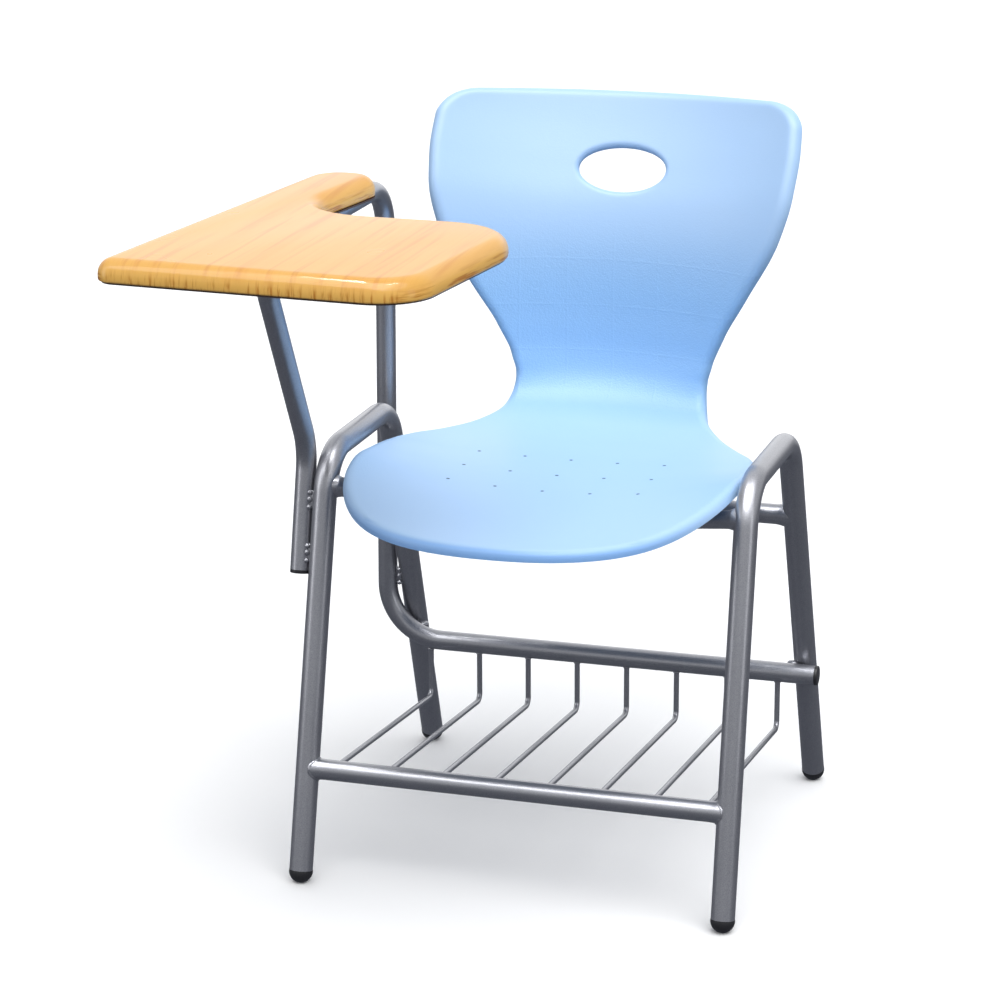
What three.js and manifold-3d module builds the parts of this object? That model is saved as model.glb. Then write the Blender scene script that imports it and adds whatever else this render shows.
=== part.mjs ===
// Student desk chair: a moulded one-piece plastic shell between two bent
// steel side frames, with a wire book rack below and a writing tablet that
// stands beside the sitter on one long bent tube.
//
// Millimetres, +Z up, +X to the sitter's left, +Y to the back of the chair.
// The model is laid out with X = 0 on the middle of the seat, Y = 0 halfway
// between the front and rear feet and Z = 0 on the floor, and the whole
// group is then moved so that its origin is the bottom centre of its box.

import * as THREE from 'three';
import { mergeVertices } from 'three/addons/utils/BufferGeometryUtils.js';
import Module from 'manifold-3d';

// ---------------------------------------------------------------- dimensions

const GAP = 0.35;                // air left between pieces that touch
const WALL = 1.4;                // wall of the steel tubes

const LEG_D = 25;                // side frame tube
const ARM_D = 22;                // tablet arm tube
const CROSS_D = 22;              // stretcher and rear rail
const SEAT_RAIL_D = 19;          // bowed rail under the front of the seat
const WIRE_D = 6;                // book rack wire

const HALF_TRACK = 229.4;        // side frame from the middle, at the floor
const HALF_TRACK_TOP = 225.8;    // side frame from the middle, at the top
const FOOT_Y = 226.4;            // feet before and behind the middle
const TOP_Z = 445.6;             // axis of the side frame's top rail
const FRONT_TOP_Y = -125.6;      // where the front leg meets the top rail
const REAR_TOP_Y = 68.5;         // where the rear leg meets the top rail
const FRAME_BEND = 52;           // bend radius of the two top corners

const FOOT_FLAT = 0.5;           // worn flat cut off each round foot
const STRETCHER_Z = 119.7;
const REAR_RAIL_Z = 349;
const FRONT_RAIL_END_Z = 413;
const FRONT_RAIL_MID = [150, -100, 397];   // where the bow of the rail begins
const FRONT_RAIL_BEND = 60;

const ARM_X = -252.6;            // tablet arm, outside the right-hand frame
const ARM_FRONT_X = -251;
// The crossbar lies against both rear legs: against the straight leg at its
// free end, and against the other leg in the tube's bend, so it is askew.
const CROSSBAR_END = [244, 147, 152.3];
const CROSSBAR_CORNER = [-253.2, 138, 154.4];
const UPRIGHT_TOP_Y = 146;
const ARM_RUN_Z = 680;
const ARM_KNEE = [ARM_FRONT_X, -119, 448.5];
const ARM_DROP_Y = -247.2;       // where the drop would meet the top run
const ARM_END_Z = 322;
const ARM_RADII = [64, 50, 33, 65];

// Flat spacers between the arm and the right-hand frame, as [y, z]; the two
// front ones lean with the leg.
const SPACER_SIZE = [22, 8, 19];
const FRONT_SPACERS = { upper: [-138, 396.5], lower: [-150, 341.5] };
const REAR_SPACER = [141, 228];

const TABLET_BASE_Z = 695.6;
const TABLET_T = 22;
const BACKING_T = 1.4;
const TABLET_ROUND = 16;         // rounding of the tablet's upper edge

const SHELL_T = 4.5;
const SHELL_LIP = 9;             // radius of the turned-down rim
const SHELL_LIP_DROP = 3;        // straight part below that radius

const RACK_WIRES = 8;
const RACK_PITCH = 57.7;
const RACK_LOW_Z = 86;

// ------------------------------------------------------------------ finishes

const finish = (color, roughness, metalness) =>
  new THREE.MeshStandardMaterial({ color, roughness, metalness });

const FRAME_PAINT = finish(0x80848c, 0.42, 0.6);
const SHELL_PLASTIC = finish(0x9cccff, 0.45, 0);
const TABLET_LAMINATE = finish(0xf2c685, 0.3, 0);
const BACKING_DARK = finish(0x4a332a, 0.6, 0);
const BLACK_PLASTIC = finish(0x16161a, 0.5, 0);
const ZINC = finish(0xb9bcc2, 0.35, 0.9);

// ------------------------------------------------------- solids and booleans

const wasm = await Module();
wasm.setup();

function toSolid(geometry) {
  const bare = geometry.index ? geometry.toNonIndexed() : geometry.clone();
  bare.deleteAttribute('uv');
  bare.deleteAttribute('normal');
  const merged = mergeVertices(bare, 1e-4);
  return new wasm.Manifold(new wasm.Mesh({
    numProp: 3,
    vertProperties: new Float32Array(merged.attributes.position.array),
    triVerts: new Uint32Array(merged.index.array),
  }));
}

function toGeometry(solid) {
  const mesh = solid.getMesh();
  const geometry = new THREE.BufferGeometry();
  const spots = new THREE.BufferAttribute(new Float32Array(mesh.vertProperties), 3);
  geometry.setAttribute('position', spots);
  geometry.setIndex(new THREE.BufferAttribute(new Uint32Array(mesh.triVerts), 1));
  geometry.computeVertexNormals();
  return geometry;
}

const chair = new THREE.Group();

function addPiece(name, geometry, material) {
  const mesh = new THREE.Mesh(geometry, material);
  mesh.name = name;
  chair.add(mesh);
  return mesh;
}

// ------------------------------------------------------------- round shapes

const ringPoints = (radius, sides) => Array.from({ length: sides }, (_, i) => {
  const turn = (i + 0.5) * 2 * Math.PI / sides;
  return new THREE.Vector2(radius * Math.cos(turn), radius * Math.sin(turn));
});

// A bent tube's axis: straight runs joined by arcs of the given radii. Points
// are only at the ends and along the arcs, so each ring of the tube does work.
class BentAxis extends THREE.Curve {
  constructor(corners, radii, arcStep = Math.PI / 10) {
    super();
    this.stations = [];
    const points = corners.map((corner) => new THREE.Vector3(...corner));
    const last = points.length - 1;
    this.addStation(points[0], points[1].clone().sub(points[0]));
    for (let i = 1; i < last; i += 1) {
      this.addBend(points[i - 1], points[i], points[i + 1], radii[i - 1], arcStep);
    }
    this.addStation(points[last], points[last].clone().sub(points[last - 1]));
  }

  addStation(point, direction) {
    this.stations.push({ point: point.clone(), tangent: direction.clone().normalize() });
  }

  addBend(before, corner, after, radius, arcStep) {
    const incoming = corner.clone().sub(before).normalize();
    const outgoing = after.clone().sub(corner).normalize();
    const turn = incoming.angleTo(outgoing);
    const start = corner.clone().addScaledVector(incoming, -radius * Math.tan(turn / 2));
    const axis = incoming.clone().cross(outgoing).normalize();
    const inward = axis.clone().cross(incoming);
    const centre = start.clone().addScaledVector(inward, radius);
    const steps = Math.max(2, Math.ceil(turn / arcStep));
    for (let i = 0; i <= steps; i += 1) {
      const angle = turn * i / steps;
      const spoke = inward.clone().multiplyScalar(-radius).applyAxisAngle(axis, angle);
      this.addStation(centre.clone().add(spoke), incoming.clone().applyAxisAngle(axis, angle));
    }
  }

  at(t, key) {
    const place = t * (this.stations.length - 1);
    const low = Math.min(Math.floor(place), this.stations.length - 2);
    return this.stations[low][key].clone().lerp(this.stations[low + 1][key], place - low);
  }

  getUtoTmapping(u) { return u; }

  getPoint(t) { return this.at(t, 'point'); }

  getTangent(t) { return this.at(t, 'tangent').normalize(); }
}

function sweep(axis, radius, sides, bore = 0) {
  const section = new THREE.Shape(ringPoints(radius, sides));
  if (bore > 0) section.holes.push(new THREE.Path(ringPoints(bore, sides)));
  const steps = axis.stations.length - 1;
  return new THREE.ExtrudeGeometry(section, { extrudePath: axis, steps, curveSegments: 1 });
}

const tube = (axis, diameter, sides) =>
  sweep(axis, diameter / 2, sides, diameter / 2 - WALL);

// A solid that cuts a seat for one tube in the end of another.
function copeCutter(corners, radii, diameter) {
  const sides = 24;
  const radius = (diameter / 2 + GAP) / Math.cos(Math.PI / sides);
  return toSolid(sweep(new BentAxis(corners, radii), radius, sides));
}

// Of the bodies that a cut leaves, the one that measures most.
const largestBody = (solid, measure) =>
  solid.decompose().reduce((best, body) => (measure(body) > measure(best) ? body : best));

// Turns a lathe shape, made along +Y, so that it points along a direction.
function aimed(geometry, origin, direction) {
  const up = new THREE.Vector3(0, 1, 0);
  const turn = new THREE.Quaternion().setFromUnitVectors(up, direction.clone().normalize());
  return geometry.applyQuaternion(turn).translate(origin.x, origin.y, origin.z);
}

function box(xs, ys, zs) {
  const shape = new THREE.BoxGeometry(xs[1] - xs[0], ys[1] - ys[0], zs[1] - zs[0]);
  return shape.translate((xs[0] + xs[1]) / 2, (ys[0] + ys[1]) / 2, (zs[0] + zs[1]) / 2);
}

// ------------------------------------------------------------ side frames

// The foot's round cap is a ball whose flat is on the floor, so the leg tube
// ends at the ball's centre.
const FOOT_R = LEG_D / 2;
const FOOT_CENTRE_Z = FOOT_R - FOOT_FLAT;

const trackAt = (z) => HALF_TRACK + (HALF_TRACK_TOP - HALF_TRACK) * z / TOP_Z;

function legPoint(side, isFront, z) {
  const footY = isFront ? -FOOT_Y : FOOT_Y;
  const topY = isFront ? FRONT_TOP_Y : REAR_TOP_Y;
  return [side * trackAt(z), footY + (topY - footY) * z / TOP_Z, z];
}

const sideCorners = (side) => [
  legPoint(side, true, FOOT_CENTRE_Z),
  legPoint(side, true, TOP_Z),
  legPoint(side, false, TOP_Z),
  legPoint(side, false, FOOT_CENTRE_Z),
];

const sideRadii = [FRAME_BEND, FRAME_BEND];

function footCap(side, isFront) {
  const centre = new THREE.Vector3(...legPoint(side, isFront, FOOT_CENTRE_Z));
  const up = new THREE.Vector3(...legPoint(side, isFront, TOP_Z)).sub(centre);
  const stemR = LEG_D / 2 - WALL - GAP;
  const profile = [new THREE.Vector2(0, -FOOT_R)];
  const ballSteps = 4;
  for (let i = 1; i <= ballSteps; i += 1) {
    const angle = i / ballSteps * Math.PI / 2;
    profile.push(new THREE.Vector2(FOOT_R * Math.sin(angle), -FOOT_R * Math.cos(angle)));
  }
  profile.at(-1).y = -GAP;
  profile.push(new THREE.Vector2(stemR, -GAP), new THREE.Vector2(stemR, 16));
  profile.push(new THREE.Vector2(stemR - 2, 18), new THREE.Vector2(0, 18));
  const cap = toSolid(aimed(new THREE.LatheGeometry(profile, 16), centre, up));
  const below = toSolid(box([-400, 400], [-400, 400], [-40, 0]));
  return toGeometry(cap.subtract(below));
}

const SIDES = [['right', -1], ['left', 1]];
for (const [name, side] of SIDES) {
  const axis = new BentAxis(sideCorners(side), sideRadii);
  addPiece(`${name}_side_frame`, tube(axis, LEG_D, 16), FRAME_PAINT);
  addPiece(`foot_cap_front_${name}`, footCap(side, true), BLACK_PLASTIC);
  addPiece(`foot_cap_rear_${name}`, footCap(side, false), BLACK_PLASTIC);
}

const sideCutters = SIDES.map(([, side]) => copeCutter(sideCorners(side), sideRadii, LEG_D));

// Cross tubes are drawn to the side frames' axes and coped to their outsides;
// what is left beyond the frames is dropped by keeping only the middle body.
function betweenFrames(geometry) {
  const coped = sideCutters.reduce((solid, cutter) => solid.subtract(cutter), toSolid(geometry));
  const width = (body) => body.boundingBox().max[0] - body.boundingBox().min[0];
  return toGeometry(largestBody(coped, width));
}

// ------------------------------------------------- stretcher and seat rails

const stretcherAxis = new BentAxis(
  [legPoint(-1, true, STRETCHER_Z), legPoint(1, true, STRETCHER_Z)], []);
addPiece('front_stretcher', betweenFrames(tube(stretcherAxis, CROSS_D, 14)), FRAME_PAINT);

const rearRailAxis = new BentAxis(
  [legPoint(-1, false, REAR_RAIL_Z), legPoint(1, false, REAR_RAIL_Z)], []);
addPiece('seat_rear_rail', betweenFrames(tube(rearRailAxis, CROSS_D, 14)), FRAME_PAINT);

const [bowX, bowY, bowZ] = FRONT_RAIL_MID;
const frontRailAxis = new BentAxis([
  legPoint(-1, true, FRONT_RAIL_END_Z),
  [-bowX, bowY, bowZ],
  [bowX, bowY, bowZ],
  legPoint(1, true, FRONT_RAIL_END_Z),
], [FRONT_RAIL_BEND, FRONT_RAIL_BEND]);
addPiece('seat_front_rail', betweenFrames(tube(frontRailAxis, SEAT_RAIL_D, 14)), FRAME_PAINT);

// --------------------------------------------------------------- tablet arm

const frontLegSlope = (FRONT_TOP_Y + FOOT_Y) / TOP_Z;
const armEnd = [
  ARM_FRONT_X, ARM_KNEE[1] - (ARM_KNEE[2] - ARM_END_Z) * frontLegSlope, ARM_END_Z];
const armCorners = [
  CROSSBAR_END,
  CROSSBAR_CORNER,
  [ARM_X, UPRIGHT_TOP_Y, ARM_RUN_Z],
  [ARM_FRONT_X, ARM_DROP_Y, ARM_RUN_Z],
  ARM_KNEE,
  armEnd,
];
const armAxis = new BentAxis(armCorners, ARM_RADII);
addPiece('tablet_arm_tube', tube(armAxis, ARM_D, 14), FRAME_PAINT);

function endPlug(origin, outward) {
  const r = ARM_D / 2;
  const stemR = r - WALL - GAP;
  const profile = [
    [0, -14], [stemR - 1.5, -14], [stemR, -12], [stemR, GAP], [r, GAP],
    [r, 2.2], [r - 1.2, 3.4], [0, 3.8],
  ].map(([x, y]) => new THREE.Vector2(x, y));
  return aimed(new THREE.LatheGeometry(profile, 14), origin, outward);
}

function plugAt(name, end, inner) {
  const origin = new THREE.Vector3(...end);
  const outward = origin.clone().sub(new THREE.Vector3(...inner));
  addPiece(name, endPlug(origin, outward), BLACK_PLASTIC);
}
plugAt('arm_end_plug_crossbar', CROSSBAR_END, CROSSBAR_CORNER);
plugAt('arm_end_plug_front', armEnd, ARM_KNEE);

// The spacers are coped to both tubes, which leaves the piece between them.
const armCutter = copeCutter(armCorners, ARM_RADII, ARM_D);
function armSpacer(spot, lean) {
  const plate = new THREE.BoxGeometry(...SPACER_SIZE);
  plate.rotateX(lean).translate((ARM_X - HALF_TRACK) / 2, ...spot);
  const solid = toSolid(plate).subtract(armCutter).subtract(sideCutters[0]);
  return toGeometry(largestBody(solid, (body) => body.volume()));
}
const frontLean = Math.atan(-frontLegSlope);
for (const [name, spot] of Object.entries(FRONT_SPACERS)) {
  addPiece(`arm_spacer_front_${name}`, armSpacer(spot, frontLean), FRAME_PAINT);
}
addPiece('arm_spacer_rear', armSpacer(REAR_SPACER, 0), FRAME_PAINT);

// ---------------------------------------------------------------- book rack

const stretcherBackY = legPoint(1, true, STRETCHER_Z)[1] + CROSS_D / 2;
const crossbarAt = (x, key) => THREE.MathUtils.mapLinear(
  x, CROSSBAR_CORNER[0], CROSSBAR_END[0], CROSSBAR_CORNER[key], CROSSBAR_END[key]);
for (let i = 0; i < RACK_WIRES; i += 1) {
  const x = (i - (RACK_WIRES - 1) / 2) * RACK_PITCH;
  const backY = crossbarAt(x, 1);
  const axis = new BentAxis([
    [x, backY, crossbarAt(x, 2) - ARM_D / 2 - GAP],
    [x, backY, RACK_LOW_Z],
    [x, stretcherBackY + GAP, STRETCHER_Z - 1.4],
  ], [9], Math.PI / 6);
  addPiece(`rack_wire_${i + 1}`, sweep(axis, WIRE_D / 2, 8), FRAME_PAINT);
}

// ------------------------------------------------------------------- tablet

// The outline is its corners, each with the radius it is rounded to; moving
// it inwards makes the smaller loops that form the rounded upper edge.
const TABLET_CORNERS = [
  { x: -334, y: -469, r: 18 },
  { x: -8, y: -487, r: 54 },
  { x: 24, y: -198, r: 78 },
  { x: -235, y: -194, r: 75 },
  { x: -206, y: 17, r: 30 },
  { x: -282, y: 17, r: 38 },
];

function outlineLoop(corners, inset, arcSteps) {
  const count = corners.length;
  const edges = corners.map((corner, i) => {
    const next = corners[(i + 1) % count];
    const along = new THREE.Vector2(next.x - corner.x, next.y - corner.y).normalize();
    const inward = new THREE.Vector2(-along.y, along.x);
    return { along, inward, offset: inward.x * corner.x + inward.y * corner.y + inset };
  });
  const loop = [];
  corners.forEach((corner, i) => {
    const before = edges[(i + count - 1) % count];
    const after = edges[i];
    const cross = before.along.cross(after.along);
    const convex = cross > 0;
    const radius = Math.max(convex ? corner.r - inset : corner.r + inset, 0.5);
    const spot = new THREE.Vector2(
      (before.offset * after.inward.y - after.offset * before.inward.y) / cross,
      (after.offset * before.inward.x - before.offset * after.inward.x) / cross);
    const turn = Math.acos(THREE.MathUtils.clamp(before.along.dot(after.along), -1, 1));
    const start = spot.clone().addScaledVector(before.along, -radius * Math.tan(turn / 2));
    const side = convex ? 1 : -1;
    const centre = start.clone().addScaledVector(before.inward, side * radius);
    for (let k = 0; k <= arcSteps; k += 1) {
      const spoke = start.clone().sub(centre);
      spoke.rotateAround(new THREE.Vector2(), side * turn * k / arcSteps);
      loop.push(centre.clone().add(spoke));
    }
  });
  return loop;
}

// Joins equal loops at rising heights into one closed solid.
function loft(levels) {
  const points = [];
  const faces = [];
  const count = levels[0].loop.length;
  for (const { loop, z } of levels) {
    for (const spot of loop) points.push(spot.x, spot.y, z);
  }
  for (let k = 0; k + 1 < levels.length; k += 1) {
    for (let i = 0; i < count; i += 1) {
      const j = (i + 1) % count;
      const low = k * count;
      const high = low + count;
      faces.push(low + i, low + j, high + j, low + i, high + j, high + i);
    }
  }
  const top = (levels.length - 1) * count;
  for (const [a, b, c] of THREE.ShapeUtils.triangulateShape(levels[0].loop, [])) {
    faces.push(a, c, b);
  }
  for (const [a, b, c] of THREE.ShapeUtils.triangulateShape(levels.at(-1).loop, [])) {
    faces.push(top + a, top + b, top + c);
  }
  const geometry = new THREE.BufferGeometry();
  geometry.setAttribute('position', new THREE.Float32BufferAttribute(points, 3));
  geometry.setIndex(faces);
  geometry.computeVertexNormals();
  return geometry;
}

const TABLET_ARC = 6;
const boardBottom = TABLET_BASE_Z + BACKING_T + GAP;
const boardTop = boardBottom + TABLET_T;
const boardLevels = [
  { inset: 2, z: boardBottom },
  { inset: 0, z: boardBottom + 2.5 },
];
const roundSteps = 4;
for (let k = 0; k <= roundSteps; k += 1) {
  const angle = k / roundSteps * Math.PI / 2;
  boardLevels.push({
    inset: TABLET_ROUND * (1 - Math.cos(angle)),
    z: boardTop - TABLET_ROUND * (1 - Math.sin(angle)),
  });
}
const boardLoops = boardLevels.map(({ inset, z }) =>
  ({ loop: outlineLoop(TABLET_CORNERS, inset, TABLET_ARC), z }));

const backingLoop = outlineLoop(TABLET_CORNERS, 2.5, TABLET_ARC);
const backingLevels = [
  { loop: backingLoop, z: TABLET_BASE_Z },
  { loop: backingLoop, z: TABLET_BASE_Z + BACKING_T },
];

// ------------------------------------------------------------- seat shell

// The shell's middle line, from the front edge of the seat, back through the
// waist and up to the top of the back, as [y, z].
const SPINE = [
  [-294, 411], [-240, 410.5], [-175, 412.5], [-105, 414], [-40, 416], [20, 418],
  [80, 419.5], [126, 426], [160, 442.5], [179, 466], [184.5, 495], [183.5, 530],
  [183.5, 572], [188.5, 616], [200, 658.5], [217.5, 698], [237.5, 740.5], [254, 779],
];
const spineCurve = new THREE.SplineCurve(SPINE.map(([y, z]) => new THREE.Vector2(y, z)));
spineCurve.arcLengthDivisions = 600;
const SPINE_LENGTH = spineCurve.getLength();

// How far along the spine a height or a depth is reached.
function reach(test) {
  for (let s = 0; s < SPINE_LENGTH; s += 0.5) {
    if (test(spineCurve.getPointAt(s / SPINE_LENGTH))) return s;
  }
  return SPINE_LENGTH;
}
const reachY = (y) => reach((spot) => spot.x >= y);
const reachZ = (z) => reach((spot) => spot.y >= z);

const SEAT_WIDEST_Y = -60;
const SEAT_HALF_WIDTH = 207.5;
const FRONT_SQUARENESS = 2.33;   // exponent of the seat's rounded front
const BACK_CORNER = 41;          // radius of the back's top corners
const TOP_CROWN = 21;            // how much lower the corners are than the middle
const frontCapLength = reachY(SEAT_WIDEST_Y);

// Half the shell's width against the distance along the spine.
const WIDTHS = [
  [frontCapLength - 40, SEAT_HALF_WIDTH], [frontCapLength, SEAT_HALF_WIDTH],
  [reachY(-10), 207.5], [reachY(43), 192.5], [reachY(80), 168], [reachY(118), 138],
  [reachY(150), 115], [reachZ(460), 107], [reachZ(486), 110.5], [reachZ(527), 126.5],
  [reachZ(576), 155], [reachZ(630), 187.5], [reachZ(670), 199.5], [reachZ(710), 202.5],
  [SPINE_LENGTH - 26, 201], [SPINE_LENGTH, 203],
].map(([s, w]) => new THREE.Vector2(s, w));

// A smooth curve through (distance, value) pairs that never overshoots.
function smooth(pairs, s) {
  const last = pairs.length - 1;
  if (s <= pairs[0].x) return pairs[0].y;
  if (s >= pairs[last].x) return pairs[last].y;
  const i = pairs.findIndex((pair) => pair.x > s) - 1;
  const slopeAt = (k) => {
    if (k === 0 || k === last) return 0;
    const left = (pairs[k].y - pairs[k - 1].y) / (pairs[k].x - pairs[k - 1].x);
    const right = (pairs[k + 1].y - pairs[k].y) / (pairs[k + 1].x - pairs[k].x);
    return left * right > 0 ? 2 * left * right / (left + right) : 0;
  };
  const span = pairs[i + 1].x - pairs[i].x;
  const t = (s - pairs[i].x) / span;
  const rise = (1 - t) * slopeAt(i) * span * t;
  const fall = -t * slopeAt(i + 1) * span * (1 - t);
  const ease = t * t * (3 - 2 * t);
  return pairs[i].y + (pairs[i + 1].y - pairs[i].y) * ease + rise * (1 - t) + fall * t;
}
const halfWidth = (s) => smooth(WIDTHS, s);

// Sideways dish of the shell, as lift per x squared: shallow in the seat,
// strongly wrapped in the back. The seat's sides also curl up a little more.
const DISHES = [
  [0, 0.0001], [reachY(-96), 0.00046], [reachY(-41), 0.00032], [reachY(14), 0.00016],
  [reachY(80), 0.00018], [reachY(150), 0.0005], [reachZ(486), 0.0017],
  [reachZ(600), 0.00158], [SPINE_LENGTH, 0.00144],
].map(([s, k]) => new THREE.Vector2(s, k));
const SEAT_CURL = 3.4e-9;
const curlEnds = [reachY(20), reachY(140)];

function sideLift(x, s) {
  const fade = THREE.MathUtils.clamp((curlEnds[1] - s) / (curlEnds[1] - curlEnds[0]), 0, 1);
  return smooth(DISHES, s) * x ** 2 + SEAT_CURL * fade * x ** 4;
}

function shellPoint(x, flatS) {
  const crownStart = reachZ(640);
  const share = Math.max(flatS - crownStart, 0) / (SPINE_LENGTH - crownStart);
  const s = flatS - TOP_CROWN * (x / SEAT_HALF_WIDTH) ** 2 * share ** 2;
  const u = THREE.MathUtils.clamp(s / SPINE_LENGTH, 0, 1);
  const spot = spineCurve.getPointAt(u);
  const along = spineCurve.getTangentAt(u);
  const lift = sideLift(x, s);
  return new THREE.Vector3(x, spot.x - along.y * lift, spot.y + along.x * lift);
}

// Bends the corner of a unit square into a quarter of a rounded disc.
const roundCorner = (p, q, n) => [
  p * (1 - q ** n / 2) ** (1 / n),
  q * (1 - p ** n / 2) ** (1 / n),
];

// Where a grid place (across, along) lies on the flat development.
function developed(across, s) {
  const size = Math.abs(across);
  const sign = Math.sign(across);
  if (s < frontCapLength) {
    const [p, q] = roundCorner(size, 1 - s / frontCapLength, FRONT_SQUARENESS);
    return [sign * p * SEAT_HALF_WIDTH, frontCapLength * (1 - q)];
  }
  const width = halfWidth(s);
  const share = BACK_CORNER / width;
  const start = SPINE_LENGTH - BACK_CORNER;
  if (s > start && size > 1 - share) {
    const [p, q] = roundCorner((size - 1 + share) / share, (s - start) / BACK_CORNER, 2);
    const end = start + q * BACK_CORNER;
    return [sign * halfWidth(end) * (1 - share + share * p), end];
  }
  return [across * width, s];
}

// Grid lines lie close together by the rim, where the lip turns down.
const RIM = [0, 1.5, 4, 7.5, 13];
const halfLines = [0, 0.17, 0.34, 0.51, 0.68, 0.82];
const rimLines = RIM.map((d) => 1 - d / 170).reverse();
const positive = [...halfLines.slice(1), ...rimLines];
const ACROSS = [...positive.map((v) => -v).reverse(), 0, ...positive];
const rowCount = 24;
const innerRows = Array.from({ length: rowCount }, (_, i) =>
  30 + (SPINE_LENGTH - 60) * i / (rowCount - 1));
const ALONG = [...RIM, ...innerRows, ...RIM.map((d) => SPINE_LENGTH - d).reverse()];

// The outline as a closed run of points, to measure distances to the rim.
function rimOutline() {
  const run = [];
  const add = (across, s) => run.push(new THREE.Vector2(...developed(across, s)));
  const n = 120;
  for (let i = 0; i < n; i += 1) add(-1 + 2 * i / n, 0);
  for (let i = 0; i < n * 2; i += 1) add(1, SPINE_LENGTH * i / (n * 2));
  for (let i = 0; i < n; i += 1) add(1 - 2 * i / n, SPINE_LENGTH);
  for (let i = 0; i < n * 2; i += 1) add(-1, SPINE_LENGTH * (1 - i / (n * 2)));
  return run;
}
const RIM_RUN = rimOutline();

function rimDistance(x, s) {
  let best = Infinity;
  for (let i = 0; i < RIM_RUN.length; i += 1) {
    const a = RIM_RUN[i];
    const b = RIM_RUN[(i + 1) % RIM_RUN.length];
    const dx = b.x - a.x;
    const dy = b.y - a.y;
    const t = THREE.MathUtils.clamp(
      ((x - a.x) * dx + (s - a.y) * dy) / (dx * dx + dy * dy + 1e-12), 0, 1);
    best = Math.min(best, Math.hypot(x - a.x - t * dx, s - a.y - t * dy));
  }
  return best;
}

function surfaceNormal(x, s) {
  const step = 0.5;
  const across = shellPoint(x + step, s).sub(shellPoint(x - step, s));
  const along = shellPoint(x, Math.min(s + step, SPINE_LENGTH))
    .sub(shellPoint(x, Math.max(s - step, 0)));
  return across.cross(along).normalize();
}

function shellGeometry() {
  const cols = ACROSS.length;
  const rows = ALONG.length;
  const outer = [];
  for (const s0 of ALONG) {
    for (const across of ACROSS) {
      const [x, s] = developed(across, s0);
      const into = Math.max(SHELL_LIP - rimDistance(x, s), 0);
      const drop = SHELL_LIP - Math.sqrt(Math.max(SHELL_LIP ** 2 - into ** 2, 0));
      outer.push(shellPoint(x, s).addScaledVector(surfaceNormal(x, s), -drop));
    }
  }
  // The rim loop once more, further down: the straight part of the lip.
  const rimLoop = [];
  for (let c = 0; c < cols; c += 1) rimLoop.push(c);
  for (let r = 1; r < rows; r += 1) rimLoop.push(r * cols + cols - 1);
  for (let c = cols - 2; c >= 0; c -= 1) rimLoop.push((rows - 1) * cols + c);
  for (let r = rows - 2; r > 0; r -= 1) rimLoop.push(r * cols);
  const lipLow = rimLoop.map((index) => {
    const [x, s] = developed(ACROSS[index % cols], ALONG[Math.floor(index / cols)]);
    return outer[index].clone().addScaledVector(surfaceNormal(x, s), -SHELL_LIP_DROP);
  });
  const points = [...outer, ...lipLow];
  const faces = [];
  const quad = (a, b, c, d) => faces.push([a, b, c], [a, c, d]);
  for (let r = 0; r + 1 < rows; r += 1) {
    for (let c = 0; c + 1 < cols; c += 1) {
      const a = r * cols + c;
      quad(a, a + 1, a + cols + 1, a + cols);
    }
  }
  const loopLength = rimLoop.length;
  rimLoop.forEach((index, i) => {
    const j = (i + 1) % loopLength;
    quad(rimLoop[j], index, outer.length + i, outer.length + j);
  });
  // Normals of that sheet, then the same sheet again one wall further in.
  const normals = points.map(() => new THREE.Vector3());
  for (const [a, b, c] of faces) {
    const edge = points[b].clone().sub(points[a]);
    const normal = edge.cross(points[c].clone().sub(points[a]));
    for (const index of [a, b, c]) normals[index].add(normal);
  }
  const inner = points.map((point, i) =>
    point.clone().addScaledVector(normals[i].normalize(), -SHELL_T));
  const base = points.length;
  const all = faces.flat();
  for (const [a, b, c] of faces) all.push(base + a, base + c, base + b);
  for (let i = 0; i < loopLength; i += 1) {
    const j = (i + 1) % loopLength;
    const a = outer.length + i;
    const b = outer.length + j;
    all.push(b, a, base + a, b, base + a, base + b);
  }
  const geometry = new THREE.BufferGeometry();
  const spots = [...points, ...inner].flatMap((point) => point.toArray());
  geometry.setAttribute('position', new THREE.Float32BufferAttribute(spots, 3));
  geometry.setIndex(all);
  return geometry;
}

const HANDLE_HALF = [50, 26];
const HANDLE_Z = 695.6;
const VENT_D = 3;
const VENT_PITCH = [51.5, 54.9];
const VENT_MIDDLE_Y = -41.3;

function cutThrough(outline, x, s) {
  const depth = 60;
  const cutter = new THREE.ExtrudeGeometry(new THREE.Shape(outline), {
    depth, bevelEnabled: false, curveSegments: 1 });
  cutter.translate(0, 0, -depth / 2);
  const normal = surfaceNormal(x, s);
  const turn = new THREE.Quaternion().setFromUnitVectors(new THREE.Vector3(0, 0, 1), normal);
  const spot = shellPoint(x, s);
  return toSolid(cutter.applyQuaternion(turn).translate(spot.x, spot.y, spot.z));
}

let shell = toSolid(shellGeometry());
const handleOutline = ringPoints(1, 28).map((spot) =>
  new THREE.Vector2(spot.x * HANDLE_HALF[0], spot.y * HANDLE_HALF[1]));
shell = shell.subtract(cutThrough(handleOutline, 0, reachZ(HANDLE_Z)));
for (let row = -1; row <= 1; row += 1) {
  for (let column = -2; column <= 2; column += 1) {
    const s = reachY(VENT_MIDDLE_Y + row * VENT_PITCH[1]);
    shell = shell.subtract(
      cutThrough(ringPoints(VENT_D / 2, 6), column * VENT_PITCH[0], s));
  }
}

// -------------------------------------------------- seat and tablet fixings

const SCREW_R = 2.4;
const HEAD_H = 2.6;
const SEAT_SCREW = { length: 7.5, head: 5 };
const TABLET_SCREW = { length: 12, head: 4.5 };

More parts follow.
